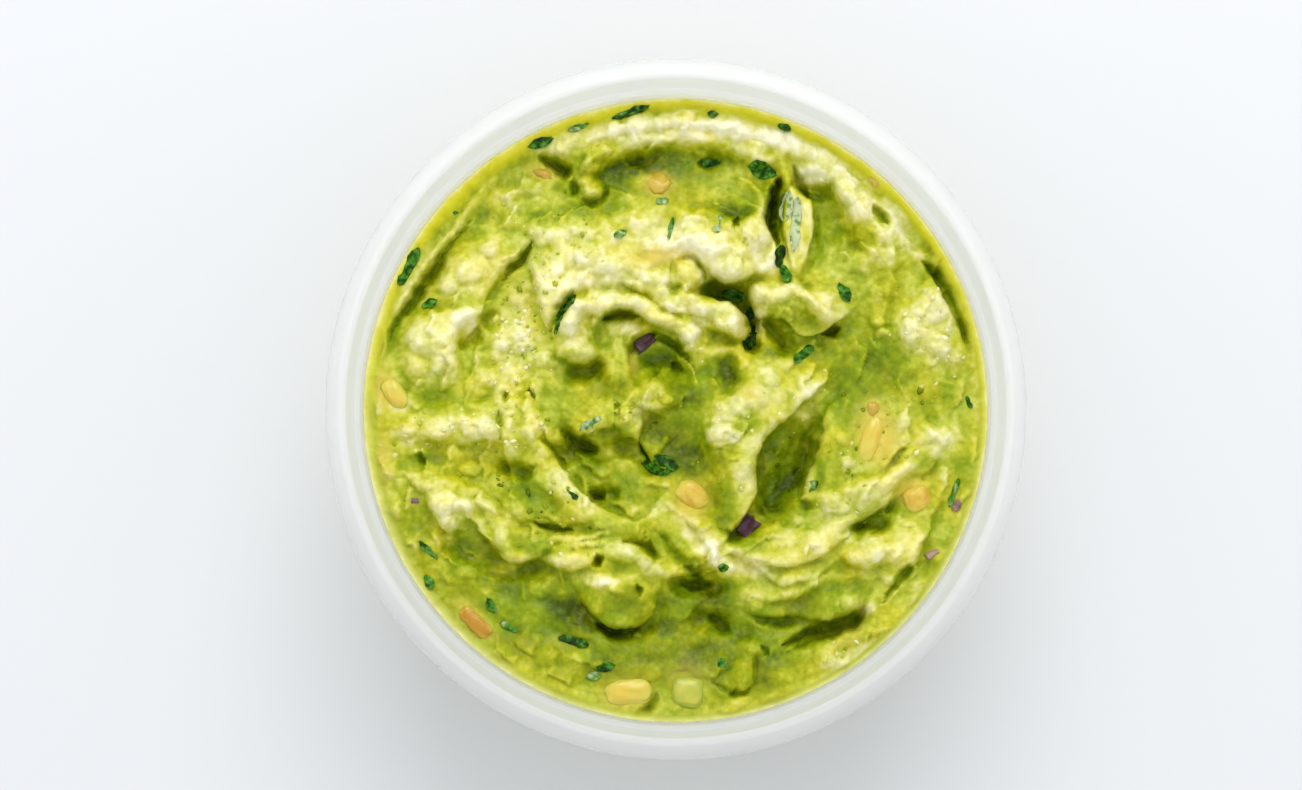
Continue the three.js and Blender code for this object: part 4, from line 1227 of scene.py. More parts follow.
@dataclass(frozen=True)
class LumpLayer:
    """Small lumps all over the dip: their noise, their cell and height in mm, and the share of cells
    that hold one."""

    noise: str
    cell: float
    height: float
    share: float


SMALL_LUMPS = (
    LumpLayer("lumps", 5.4, 1.3, 0.6),
    LumpLayer("grain", 2.8, 0.65, 0.5),
    LumpLayer("crumb", 1.4, 0.32, 0.45),
)


@dataclass
class Relief:
    """The height of the dip's top over its mean level, as the spoon left it."""

    wall_band: float = 2.2  # the last part before the wall, where the dip climbs it
    wall_climb: float = 0.35
    swell: float = 0.5
    swell_cell: float = 9
    steepness: float = 1.2  # how much taller the strokes stand than they are stated
    eye: tuple[float, float] = (-2.0, 2.0)  # mm, what the spoon turned round
    lip_spacing: float = 4.2
    lip_rise: float = 1.1
    beside_fold: float = 5  # mm, how far from a fold the spoon's streaks run along it
    streak_height: float = 0.16
    swirl_height: float = 0.10  # of the streaks round the middle, away from the folds
    grain_height: float = 0.05
    grain_cell: float = 0.8
    noises: dict[str, PlaneNoise] = field(default_factory=dict)

    def __post_init__(self) -> None:
        """Draws one noise for each use."""
        for seed, name in enumerate(("swell", "wander", "uneven", "lumps", "grain", "streak", "crumb"), 7):
            self.noises[name] = PlaneNoise(seed)

    def lay(self, x: Field, y: Field) -> Ground:
        """Lays every stroke.

        Args:
            x: The points' x in mm.
            y: The points' y in mm.

        Returns:
            The ground with its height over the mean level, its lean, and what lies near each point.
        """
        n = self.noises
        broad_x, broad_y, fine_x, fine_y = x / 5.5, y / 5.5, x / 2.1, y / 2.1
        wander = n["wander"].wave
        wander_x = 0.3 * wander(broad_x, broad_y) + 0.4 * wander(fine_x + 50, fine_y, 2)
        wander_y = 0.3 * wander(broad_x + 90, broad_y + 30) + 0.4 * wander(fine_x - 50, fine_y + 70, 2)
        ground = Ground.flat(x + wander_x, y + wander_y)
        ground.z += self.swell * n["swell"].wave(ground.x / self.swell_cell, ground.y / self.swell_cell, 2)
        for stroke in (*MOUNDS, *HOLLOWS):
            stroke.lay(ground)
        for stroke in (*FOLDS, *RIDGES):
            stroke.lay(ground, n["uneven"])
        for stroke in (*LUMPS, *SLITS):
            stroke.lay(ground)
        ground.z *= self.steepness
        ground.z += self.detail(ground)
        radius = np.hypot(x, y)
        edge = TUB.inner_radius(TUB.fill_z)
        wall = smooth_step(edge - self.wall_band, edge, radius)
        climb = self.wall_climb + 0.2 * n["swell"].wave(np.arctan2(y, x) * 9, radius * 0)
        ground.z = ground.z * (1 - wall) + wall * climb
        ground.lean_x *= 1 - wall
        ground.lean_y *= 1 - wall
        return ground

    def detail(self, ground: Ground) -> Field:
        """The small lumps, grains and spoon streaks.

        Args:
            ground: The dip's top with all its strokes.

        Returns:
            The height that they add.
        """
        n, x, y = self.noises, ground.x, ground.y
        x = x + 0.5 * n["wander"].wave(x / 2.3, y / 2.3)
        y = y + 0.5 * n["wander"].wave(x / 2.3 + 40, y / 2.3)
        # the tone patches, painted light and shade among them, make the relief lumpier where they are pale
        # and smoother where they are dark
        lumpy = 0.8 + 0.6 * n["swell"].wave(x / 11 + 5, y / 11, 2) + 2.5 * sum(p.tint(x, y) for p in PAINTED_LIGHT_AND_TONE)
        lumpy = np.clip(lumpy, 0.3, 1.5)
        lumps = sum(p.height * n[p.noise].blobs(x / p.cell, y / p.cell, p.share) for p in SMALL_LUMPS)
        beside = np.exp(-((ground.near / self.beside_fold) ** 2))
        streaks = self.streak_height * beside * n["streak"].wave(ground.across / 1.1, ground.run / 9)
        radius, turn = np.hypot(x, y), np.arctan2(y, x)
        swirl = n["streak"].wave(radius / 1.3 + 3 * turn, radius * turn / 14)
        swirl *= self.swirl_height * (1 - beside)
        grain = self.grain_height * n["grain"].wave(x / self.grain_cell, y / self.grain_cell)
        return lumpy * lumps + self.lips(x, y) + streaks + swirl + grain

    def lips(self, x: Field, y: Field) -> Field:
        """Short lips that the spoon's turning leaves: each rises slowly and drops sharply.

        Args:
            x: The points' x in mm.
            y: The points' y in mm.

        Returns:
            The height that they add.
        """
        n = self.noises
        out = np.hypot(x - self.eye[0], y - self.eye[1]) / self.lip_spacing
        out += 1.3 * n["wander"].wave(x / 11, y / 11, 2)
        lip = np.floor(out)
        share = out - lip
        there = smooth_step(0.05, 0.3, n["streak"].wave(x / 6 + 13 * lip, y / 6 + 7 * lip))
        return self.lip_rise * there * share**1.6 * (1 - smooth_step(0.9, 1.0, share))


# ---------------------------------------------------------------- finishes


def linear(hex_colour: str) -> tuple[float, float, float, float]:
    """Turns an sRGB hex colour to linear red, green, blue and alpha."""
    parts = [int(hex_colour[i : i + 2], 16) / 255 for i in (1, 3, 5)]
    return (*(p / 12.92 if p <= 0.04045 else ((p + 0.055) / 1.055) ** 2.4 for p in parts), 1.0)


class Pattern:
    """The nodes of one material. Its methods add a node each, and most return its output."""

    def __init__(self, material: bpy.types.Material) -> None:
        """Starts from the material's own shader."""
        self.tree = material.node_tree
        self.shader = self.tree.nodes["Principled BSDF"]

    def add(self, kind: str, inputs: dict[str | int, object], **settings: object) -> bpy.types.Node:
        """Adds a node.

        Args:
            kind: The node's type, without its first word ShaderNode.
            inputs: A value or another node's output for each input named here.
            settings: The node's own properties.

        Returns:
            The new node.
        """
        node = self.tree.nodes.new("ShaderNode" + kind)
        for name, value in settings.items():
            setattr(node, name, value)
        for name, value in inputs.items():
            if isinstance(value, Socket):
                self.tree.links.new(value, node.inputs[name])
            else:
                node.inputs[name].default_value = value
        return node

    @cached_property
    def place(self) -> Socket:
        """Places in the piece's own space, in metres."""
        return self.add("TexCoord", {}).outputs["Object"]

    def stored(self, name: str) -> Socket:
        """A number that is stored on the piece's vertices."""
        return self.add("Attribute", {}, attribute_name=name).outputs["Fac"]

    def noise(self, size: float, detail: float, roughness: float = 0.5) -> Socket:
        """Noise from 0 to 1 with features of the given size in mm."""
        inputs = {"Vector": self.place, "Scale": 1 / (size * MM), "Detail": detail, "Roughness": roughness}
        return self.add("TexNoise", inputs).outputs["Fac"]

    def cells(self, size: float) -> Socket:
        """Distance from the middles of scattered cells of the given size in mm."""
        return self.add("TexVoronoi", {"Vector": self.place, "Scale": 1 / (size * MM)}).outputs["Distance"]

    def scaled(self, value: Socket, by: float, plus: float | Socket) -> Socket:
        """A value times a number, plus another value."""
        return self.add("Math", {0: value, 1: by, 2: plus}, operation="MULTIPLY_ADD").outputs[0]

    def within(self, value: Socket, low: float, high: float) -> Socket:
        """How far a value is from low, as 0, to high, as 1."""
        return self.add("MapRange", {"Value": value, "From Min": low, "From Max": high}).outputs["Result"]

    def mixed(self, share: Socket, first: Socket, second: Socket | tuple[float, ...]) -> Socket:
        """A colour from the first, where the share is 0, to the second, where it is 1."""
        return self.add("Mix", {0: share, 6: first, 7: second}, data_type="RGBA").outputs[2]

    def ramp(self, value: Socket, stops: Stops) -> Socket:
        """A colour for a value, by stops of place and hex colour."""
        node = self.add("ValToRGB", {"Fac": value})
        elements = node.color_ramp.elements
        for place, _ in stops[len(elements) :]:
            elements.new(place)
        for element, (place, colour) in zip(elements, sorted(stops)):
            element.position, element.color = place, linear(colour)
        return node.outputs["Color"]

    def colour(self, value: Socket) -> None:
        """Gives the shader its colour."""
        self.tree.links.new(value, self.shader.inputs["Base Color"])

    def bump(self, height: Socket, strength: float, depth: float) -> None:
        """Gives the shader a fine relief, depth in mm."""
        node = self.add("Bump", {"Height": height, "Strength": strength, "Distance": depth * MM})
        self.tree.links.new(node.outputs["Normal"], self.shader.inputs["Normal"])


@dataclass(frozen=True)
class Finish:
    """A material: its name, and what its shader's own sockets are set to."""

    name: str = "finish"
    colour: str = "#808080"
    roughness: float = 0.5
    ior: float = 1.45

    def sockets(self) -> dict[str, object]:
        """The shader's constant settings."""
        return {"Base Color": linear(self.colour), "Roughness": self.roughness, "IOR": self.ior}

    def dress(self, pattern: Pattern) -> None:
        """Adds the finish's patterns. A plain finish has none."""

    def material(self) -> bpy.types.Material:
        """Makes the material."""
        made = bpy.data.materials.new(self.name)
        made.use_nodes = True
        pattern = Pattern(made)
        for name, value in self.sockets().items():
            pattern.shader.inputs[name].default_value = value
        self.dress(pattern)
        return made


@dataclass(frozen=True)
class MashedAvocado(Finish):
    """Avocado crushed with a fork and stirred.

    It is a wet, fatty paste, pale yellow green to olive, with a soft broken shine. It glows a little at thin
    edges, as light goes a millimetre or two into it. Its colour follows a stored tone that is paler on
    crests and olive where the mash is sunk, and that is partly painted light and painted shade.
    """

    name: str = "mashed avocado, stirred"
    roughness: float = 0.38
    tones: Stops = (
        (0.0, "#405200"),
        (0.2, "#688002"),
        (0.42, "#8fa20e"),
        (0.6, "#bcc344"),
        (0.8, "#e0de94"),
        (1.0, "#f8f4d2"),
    )
    stone_tones: Stops = (  # of mash from near the stone, yellower
        (0.0, "#4c5800"),
        (0.2, "#788402"),
        (0.42, "#a4a80e"),
        (0.6, "#cbc732"),
        (0.8, "#eae28a"),
        (1.0, "#fcf7d0"),
    )
    side_size: float = 7  # mm, patches of mash from one side of the fruit
    side_range: tuple[float, float] = (0.38, 0.66)  # of that noise, from skin side to stone side
    # painted light and shade on the wall film: the film behind is painted brighter yellow, as if lit through
    # the wall, and the film in front is painted duller
    back_film_painted_lit: Stops = (  # the thin, oily film where the dip meets the wall
        (0.0, "#acb012"),
        (0.5, "#cac812"),
        (0.85, "#eae23c"),
        (1.0, "#f8f29c"),
    )
    front_film_painted_dull: Stops = (  # the same film in front, painted duller as painted shade
        (0.0, "#a2a82c"),
        (0.5, "#b6ba44"),
        (0.85, "#ced070"),
        (1.0, "#e0e0a0"),
    )
    film_turn: tuple[float, float] = (-20 * MM, 30 * MM)  # from the front film to the back one
    film_start: tuple[float, float] = (0.05, 0.45)  # how far up the edge the film comes in
    flesh: str = "#dcc65a"  # firm avocado smeared into it
    glow_depth: float = 1.0  # mm
    mottle: float = 2.4  # mm, patches of finer and coarser mash
    mottle_swing: float = 0.5
    mottle_shift: float = -0.22
    fibre: float = 0.8  # mm, the grain of crushed flesh
    crumb: float = 1.1  # mm, the broken crumbs in it
    crumb_height: float = 0.9  # against the fibre's
    grain_tone: float = 0.14  # how much paler a grain is than the gap beside it
    grain_strength: float = 0.4
    grain_depth: float = 0.2  # mm

    def sockets(self) -> dict[str, object]:
        """Adds the glow under the surface to the plain settings."""
        return {
            **super().sockets(),
            "Subsurface Weight": 0.3,
            "Subsurface Radius": (1.0, 0.85, 0.25),
            "Subsurface Scale": self.glow_depth * MM,
            "Specular IOR Level": 0.2,
        }

    def dress(self, pattern: Pattern) -> None:
        """Colours the mash by its tone, breaks it with mottles and grain, and tints its edge."""
        uneven = pattern.scaled(pattern.noise(self.mottle, 4, 0.6), self.mottle_swing, self.mottle_shift)
        # the stored tone carries painted light on crests and painted shade in hollows and under edges
        mottled = pattern.scaled(uneven, 1, pattern.stored("tone"))
        fibre = pattern.noise(self.fibre, 3, 0.6)
        grains = pattern.scaled(pattern.cells(self.crumb), -self.crumb_height, fibre)
        tone = pattern.scaled(grains, self.grain_tone, mottled)
        side = pattern.within(pattern.noise(self.side_size, 2), *self.side_range)
        mash = pattern.mixed(side, pattern.ramp(tone, self.tones), pattern.ramp(tone, self.stone_tones))
        fleshed = pattern.mixed(pattern.stored("flesh"), mash, linear(self.flesh))
        ragged = pattern.scaled(uneven, 1, pattern.stored("edge"))
        depth = pattern.add("SeparateXYZ", {0: pattern.place}).outputs["Y"]
        behind = pattern.within(depth, *self.film_turn)
        # painted shade on the front film, painted light on the back one
        front, back = pattern.ramp(ragged, self.front_film_painted_dull), pattern.ramp(ragged, self.back_film_painted_lit)
        film = pattern.mixed(behind, front, back)
        pattern.colour(pattern.mixed(pattern.within(ragged, *self.film_start), fleshed, film))
        pattern.bump(grains, self.grain_strength, self.grain_depth)


@dataclass(frozen=True)
class Tinted(Finish):
    """A finish whose colour follows the tone stored on its piece, uneven in small patches."""

    tones: Stops = ()
    patch: float = 1  # mm
    swing: float = 0.5  # how far the tone goes from the darkest patch to the palest
    patch_strength: float = 0
    patch_depth: float = 0.1  # mm

    def dress(self, pattern: Pattern) -> None:
        """Colours the piece by its tone, and gives the patches a faint relief."""
        patches = pattern.noise(self.patch, 3)
        uneven = pattern.scaled(patches, self.swing, -self.swing / 2)
        pattern.colour(pattern.ramp(pattern.scaled(uneven, 1, pattern.stored("tone")), self.tones))
        if self.patch_strength:
            pattern.bump(patches, self.patch_strength, self.patch_depth)


@dataclass(frozen=True)
class FirmAvocado(Tinted):
    """Avocado that the fork missed: smooth, buttery flesh, yellow near the stone and green near the
    skin, a little shinier than the mash round it."""

    name: str = "avocado flesh, cut"
    roughness: float = 0.32
    tones: Stops = ((0.0, "#a8b236"), (0.35, "#d2ca52"), (0.6, "#dcc048"), (1.0, "#b8860e"))
    patch: float = 2.5
    patch_strength: float = 0.3
    patch_depth: float = 0.2

    def sockets(self) -> dict[str, object]:
        """Adds the glow under the surface and the wet shine to the plain settings."""
        return {
            **super().sockets(),
            "Subsurface Weight": 0.3,
            "Subsurface Radius": (1.0, 0.9, 0.35),
            "Subsurface Scale": 2.0 * MM,
            "Coat Weight": 0.2,
            "Coat Roughness": 0.2,
        }


@dataclass(frozen=True)
class CorianderLeaf(Tinted):
    """Chopped fresh coriander: thin dark green leaf, lighter on its back and at cut edges, with a
    waxy shine where it is wet."""

    name: str = "coriander leaf, chopped"
    tones: Stops = (
        (0.0, "#0e2408"),
        (0.3, "#244c02"),
        (0.5, "#3e8008"),
        (0.75, "#74944e"),
        (1.0, "#bcc89c"),
    )
    patch: float = 1.1
    swing: float = 1.8
    patch_strength: float = 0.4

    def sockets(self) -> dict[str, object]:
        """Tones down the shine of a wet leaf."""
        return {**super().sockets(), "Specular IOR Level": 0.2}


@dataclass(frozen=True)
class RedOnion(Tinted):
    """Diced red onion: wet, glassy flesh with a purple brown skin side and tan cut edges."""

    name: str = "red onion, diced"
    roughness: float = 0.3
    tones: Stops = ((0.0, "#3a2530"), (0.5, "#5f3d48"), (1.0, "#a98a80"))
    patch: float = 0.9
    swing: float = 0.8

    def sockets(self) -> dict[str, object]:
        """Adds the light that comes through the flesh."""
        return {**super().sockets(), "Subsurface Weight": 0.2, "Subsurface Scale": 0.8 * MM}


@dataclass(frozen=True)
class MilkyPolypropylene(Finish):
    """Thin injection moulded polypropylene, not quite clear: it lets the light through with a milky
    haze, and its rolled rim catches thin bright lines."""

    name: str = "polypropylene, moulded and milky"
    colour: str = "#eaecec"
    roughness: float = 0.24
    ior: float = 1.49
    ripple: float = 9  # mm, the slow unevenness of a thin moulded wall
    ripple_strength: float = 0.3
    ripple_depth: float = 0.4  # mm
    haze_depth: float = 3  # mm, how far the light spreads in the milky wall
    cover: float = 0.34  # the share of light that each face of the thin wall holds back

    def sockets(self) -> dict[str, object]:
        """Adds the light that goes through the wall."""
        return {
            **super().sockets(),
            "Alpha": self.cover,
            "Specular IOR Level": 0.3,
            "Subsurface Weight": 1.0,
            "Subsurface Radius": (1.0, 1.0, 1.0),
            "Subsurface Scale": self.haze_depth * MM,
        }

    def dress(self, pattern: Pattern) -> None:
        """Gives the wall its slow ripple."""
        pattern.bump(pattern.noise(self.ripple, 2), self.ripple_strength, self.ripple_depth)


@dataclass(frozen=True)
class PaleTabletop(Finish):
    """A plain pale tabletop, matte, so that only the tub's own shadow shows on it."""

    name: str = "pale tabletop"
    colour: str = "#e0e2e6"
    roughness: float = 0.6


# ---------------------------------------------------------------- studio


@dataclass
class Studio:
    """The camera over the tub, its light, and the tabletop."""

    sensor: float = 36
    lens: float = 117.4
    distance: float = 705  # mm, from the rim's plane
    elevation: float = 87.5
    aim: tuple[float, float] = (-4.15, 2.0)  # mm from the tub's middle, in the rim's plane
    lamp_distance: float = 900
    lamp_size: float = 560
    lamp_elevation: float = 50
    lamp_azimuth: float = 4
    lamp_power: float = 4.0
    lamp_colour: tuple[float, float, float] = (1.0, 0.985, 0.955)
    sky: float = 0.9
    sky_colour: tuple[float, float, float, float] = (0.97, 0.985, 1.0, 1.0)
    table_size: float = 1500
    near_clip: float = 10
    far_clip: float = 10000

    def build(self) -> None:
        """Makes the tabletop, the camera and the lights."""
        self.build_table()
        self.build_camera()
        self.build_lights()

    def build_table(self) -> None:
        """Lays the tabletop under the tub."""
        bm = bmesh.new()
        bmesh.ops.create_grid(bm, x_segments=2, y_segments=2, size=self.table_size)
        table = new_object("tabletop", bm, PaleTabletop().material())

    def build_camera(self) -> None:
        """Puts the camera almost straight over the tub, a little to the front."""
        data = bpy.data.cameras.new("camera")
        data.sensor_width, data.lens = self.sensor, self.lens
        data.clip_start, data.clip_end = self.near_clip * MM, self.far_clip * MM
        camera = bpy.data.objects.new("camera", data)
        tilt = math.radians(self.elevation)
        back = Vector((0, -math.cos(tilt), math.sin(tilt)))
        camera.location = (Vector((*self.aim, TUB.height)) + back * self.distance) * MM
        camera.rotation_euler = (-back).to_track_quat("-Z", "Y").to_euler()
        bpy.context.scene.collection.objects.link(camera)
        bpy.context.scene.camera = camera

    def build_lights(self) -> None:
        """Lights the tub with one large soft lamp from the back, and a pale sky all round."""
        data = bpy.data.lights.new("window", "AREA")
        data.shape, data.size, data.size_y = "RECTANGLE", self.lamp_size * MM, self.lamp_size * MM
        data.energy = self.lamp_power
        data.color = self.lamp_colour
        lamp = bpy.data.objects.new("window", data)
        rise, turn = math.radians(self.lamp_elevation), math.radians(self.lamp_azimuth)
        way = Vector((math.sin(turn) * math.cos(rise), math.cos(turn) * math.cos(rise), math.sin(rise)))
        lamp.location = way * self.lamp_distance * MM
        lamp.rotation_euler = (-way).to_track_quat("-Z", "Y").to_euler()
        bpy.context.scene.collection.objects.link(lamp)
        world = bpy.data.worlds.new("pale room")
        world.use_nodes = True
        sky = world.node_tree.nodes["Background"]
        sky.inputs["Color"].default_value = self.sky_colour
        sky.inputs["Strength"].default_value = self.sky
        bpy.context.scene.world = world
        bpy.context.scene.view_settings.view_transform = "Standard"


# ---------------------------------------------------------------- tub


@dataclass
class DeliTub:
    """The turned wall, its foot ring, stacking shoulder and rolled rim."""

    steps: int = 256
    corner_steps: int = 4

    def outline(self) -> list[tuple[float, float, float]]:
        """The wall's outline as corners of radius, height and rounding, from the middle of its
        underside round to the middle of its floor."""
        foot, wall = TUB.floor_radius + TUB.wall - 0.8, TUB.wall
        skirt_z, step = TUB.height - TUB.skirt_drop, TUB.shoulder_radius + TUB.shoulder_step
        neck = TUB.crest_radius - 0.7
        outside = [
            (0, TUB.foot_recess, 0),
            (foot - TUB.foot_width - 0.6, TUB.foot_recess, 0.3),
            (foot - TUB.foot_width, 0, 0.3),
            (foot, 0, 0.5),
            (TUB.floor_radius + wall, 1.4, 0.6),
            (TUB.shoulder_radius + wall, TUB.shoulder_z, 0.5),
            (step + wall, TUB.shoulder_z + 0.7, 0.4),
            (neck + wall - 0.1, TUB.height - 2.6, 0.5),
        ]
        rim = [
            (TUB.crest_radius + 0.7, TUB.height - 1.6, 0.4),
            (TUB.rim_radius - wall - 0.2, TUB.height - 3.4, 0.6),
            (TUB.rim_radius - wall, skirt_z, 0.15),
            (TUB.rim_radius, skirt_z, 0.15),
            (TUB.rim_radius, TUB.height - 3.2, 0.9),
            (TUB.crest_radius + 1.2, TUB.height - 0.9, 0.6),
            (TUB.crest_radius + 0.5, TUB.height, 0.45),
            (TUB.crest_radius - 0.6, TUB.height, 0.45),
        ]
        inside = [
            (step, TUB.shoulder_z + 0.7, 0.3),
            (TUB.shoulder_radius, TUB.shoulder_z, 0.3),
            (TUB.inner_radius(TUB.floor_z + 1), TUB.floor_z, 1.6),
            (0, TUB.floor_z, 0),
        ]
        return [*outside, *rim, *inside]

    def profile(self) -> list[Vector]:
        """The outline with every corner rounded, as points in the XZ plane."""
        corners = [(Vector((r, 0, z)), rounding) for r, z, rounding in self.outline()]
        points = [corners[0][0]]
        for (before, _), (corner, rounding), (after, _) in zip(corners, corners[1:], corners[2:]):
            back, on = (before - corner), (after - corner)
            start = corner + back.normalized() * min(rounding, back.length / 2)
            end = corner + on.normalized() * min(rounding, on.length / 2)
            for i in range(self.corner_steps + 1):
                t = i / self.corner_steps
                points.append(start * (1 - t) ** 2 + corner * 2 * t * (1 - t) + end * t**2)
        points.append(corners[-1][0])
        return points

    def build(self) -> bpy.types.Object:
        """Turns the profile into the tub.

        Returns:
            The tub, standing for its frame node.
        """
        bm = bmesh.new()
        verts = [bm.verts.new(p) for p in self.profile()]
        edges = [bm.edges.new(pair) for pair in zip(verts, verts[1:])]
        bmesh.ops.spin(
            bm,
            geom=[*verts, *edges],
            axis=(0, 0, 1),
            cent=(0, 0, 0),
            angle=2 * math.pi,
            steps=self.steps,
            use_merge=True,
        )
        bmesh.ops.remove_doubles(bm, verts=bm.verts, dist=1e-4)
        bmesh.ops.recalc_face_normals(bm, faces=bm.faces)
        tub = new_object("deli_tub", bm, MilkyPolypropylene().material())
        return place_on_body(tub, "tub_plastic", "tub")


# ---------------------------------------------------------------- firm avocado


@dataclass(frozen=True)
class ChunkPlace:
    """A firm piece: its frame node, its half sizes in mm, how far its top stands out, its turn in
    degrees and its colour."""

    node: str
    half: tuple[float, float, float]
    proud: float
    turn: float
    tone: float


CHUNKS = (
    ChunkPlace("avocado_chunk_front_left", (4.8, 3, 2.6), 1.4, 4, 0.5),
    ChunkPlace("avocado_chunk_front", (3.4, 3.1, 2.6), 1.3, -10, 0.12),
    ChunkPlace("avocado_chunk_right", (5.6, 2.4, 2.3), 1.0, 72, 0.5),
    ChunkPlace("avocado_chunk_far_right", (3, 2.4, 2.2), 0.8, 25, 0.74),
    ChunkPlace("avocado_chunk_middle", (3.5, 2.6, 2.2), 1.3, -38, 0.66),
    ChunkPlace("avocado_chunk_left", (3.3, 2.1, 2.2), 1.0, -58, 0.5),
    ChunkPlace("avocado_chunk_left_front", (4, 1.8, 2.2), 0.7, -42, 1.0),
)


@dataclass(frozen=True)
class Seat:
    """Where a firm piece lies, read from the frame: its middle, and the level that it stands out of."""

    middle: Vector
    half: tuple[float, float, float]
    turn: float
    level: float

    @classmethod
    def of(cls, place: ChunkPlace) -> "Seat":
        """Reads a piece's seat from its frame node."""
        low, high = (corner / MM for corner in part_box(place.node))
        level = high.z - place.proud - TUB.fill_z
        return cls((low + high) / 2, place.half, math.radians(place.turn), level)

    def own(self, x: Field, y: Field) -> tuple[Field, Field]:
        """Turns places to the piece's own axes, in mm from its middle."""
        return turned(x - self.middle.x, y - self.middle.y, -self.turn)


@dataclass
class AvocadoChunks:
    """The firm pieces that stand out of the dip."""

    trim: float = 0.4  # how much of a corner the cut takes off, at most
    rounding: float = 0.55
    uneven: float = 0.07

    def build(self) -> list[bpy.types.Object]:
        """Makes one piece for each frame node.

        Returns:
            The pieces.
        """
        material = FirmAvocado().material()
        return [self.build_one(place, material, i) for i, place in enumerate(CHUNKS)]

    def build_one(self, place: ChunkPlace, material: bpy.types.Material, seed: int) -> bpy.types.Object:
        """Makes one firm piece: a ball pressed towards a block.

        Args:
            place: Its frame node and look.
            material: Its finish.
            seed: The seed of its uneven surface.

        Returns:
            The piece, standing for its frame node.
        """
        seat, noise = Seat.of(place), PlaneNoise(100 + seed)
        bm = self.cut_block(seed)
        co = np.array([v.co for v in bm.verts])
        low, high = (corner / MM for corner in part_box(place.node))
        wave = noise.wave(2.2 * co[:, 0] + 5 * co[:, 2], 2.2 * co[:, 1] + 3 * co[:, 2], 2)
        shaped = co / np.abs(co).max(0) * (0.98 + self.uneven * (wave - 1))[:, None] * place.half
        x, y = turned(shaped[:, 0], shaped[:, 1], seat.turn)
        moved = zip(bm.verts, x + seat.middle.x, y + seat.middle.y, shaped[:, 2] + seat.middle.z)
        for vert, vx, vy, vz in moved:
            vert.co = (np.clip(vx, low.x, high.x), np.clip(vy, low.y, high.y), vz)
        piece = new_object(place.node + "_flesh", bm, material)
        rim = np.clip((np.hypot(*(shaped[:, :2] / place.half[:2]).T) - 0.62) / 0.3, 0, 1)
        add_attribute(piece, "tone", place.tone + 0.2 * wave - 0.25 * rim)
        return place_on_body(piece, "avocado_flesh", place.node)

    def cut_block(self, seed: int) -> bmesh.types.BMesh:
        """An uneven block with flat cut faces and soft edges, inside the box from -1 to 1.

        Args:
            seed: The seed of its corners.

        Returns:
            The block, finely divided.
        """
        rng = np.random.default_rng(seed)
        bm = bmesh.new()
        bmesh.ops.create_cube(bm, size=2)
        for vert in bm.verts:
            vert.co = [c * (1 - self.trim * share) for c, share in zip(vert.co, rng.random(3))]
        bmesh.ops.bevel(
            bm,
            geom=bm.edges[:],
            offset=self.rounding,
            segments=4,
            profile=0.5,
            affect="EDGES",
            material=-1,
            clamp_overlap=True,
        )
        bmesh.ops.triangulate(bm, faces=bm.faces)
        bmesh.ops.subdivide_edges(bm, edges=bm.edges[:], cuts=2, use_grid_fill=True)
        every_way = {"use_axis_x": True, "use_axis_y": True, "use_axis_z": True}
        for _ in range(2):
            bmesh.ops.smooth_vert(bm, verts=bm.verts, factor=0.5, **every_way)
        return bm


# ---------------------------------------------------------------- dip


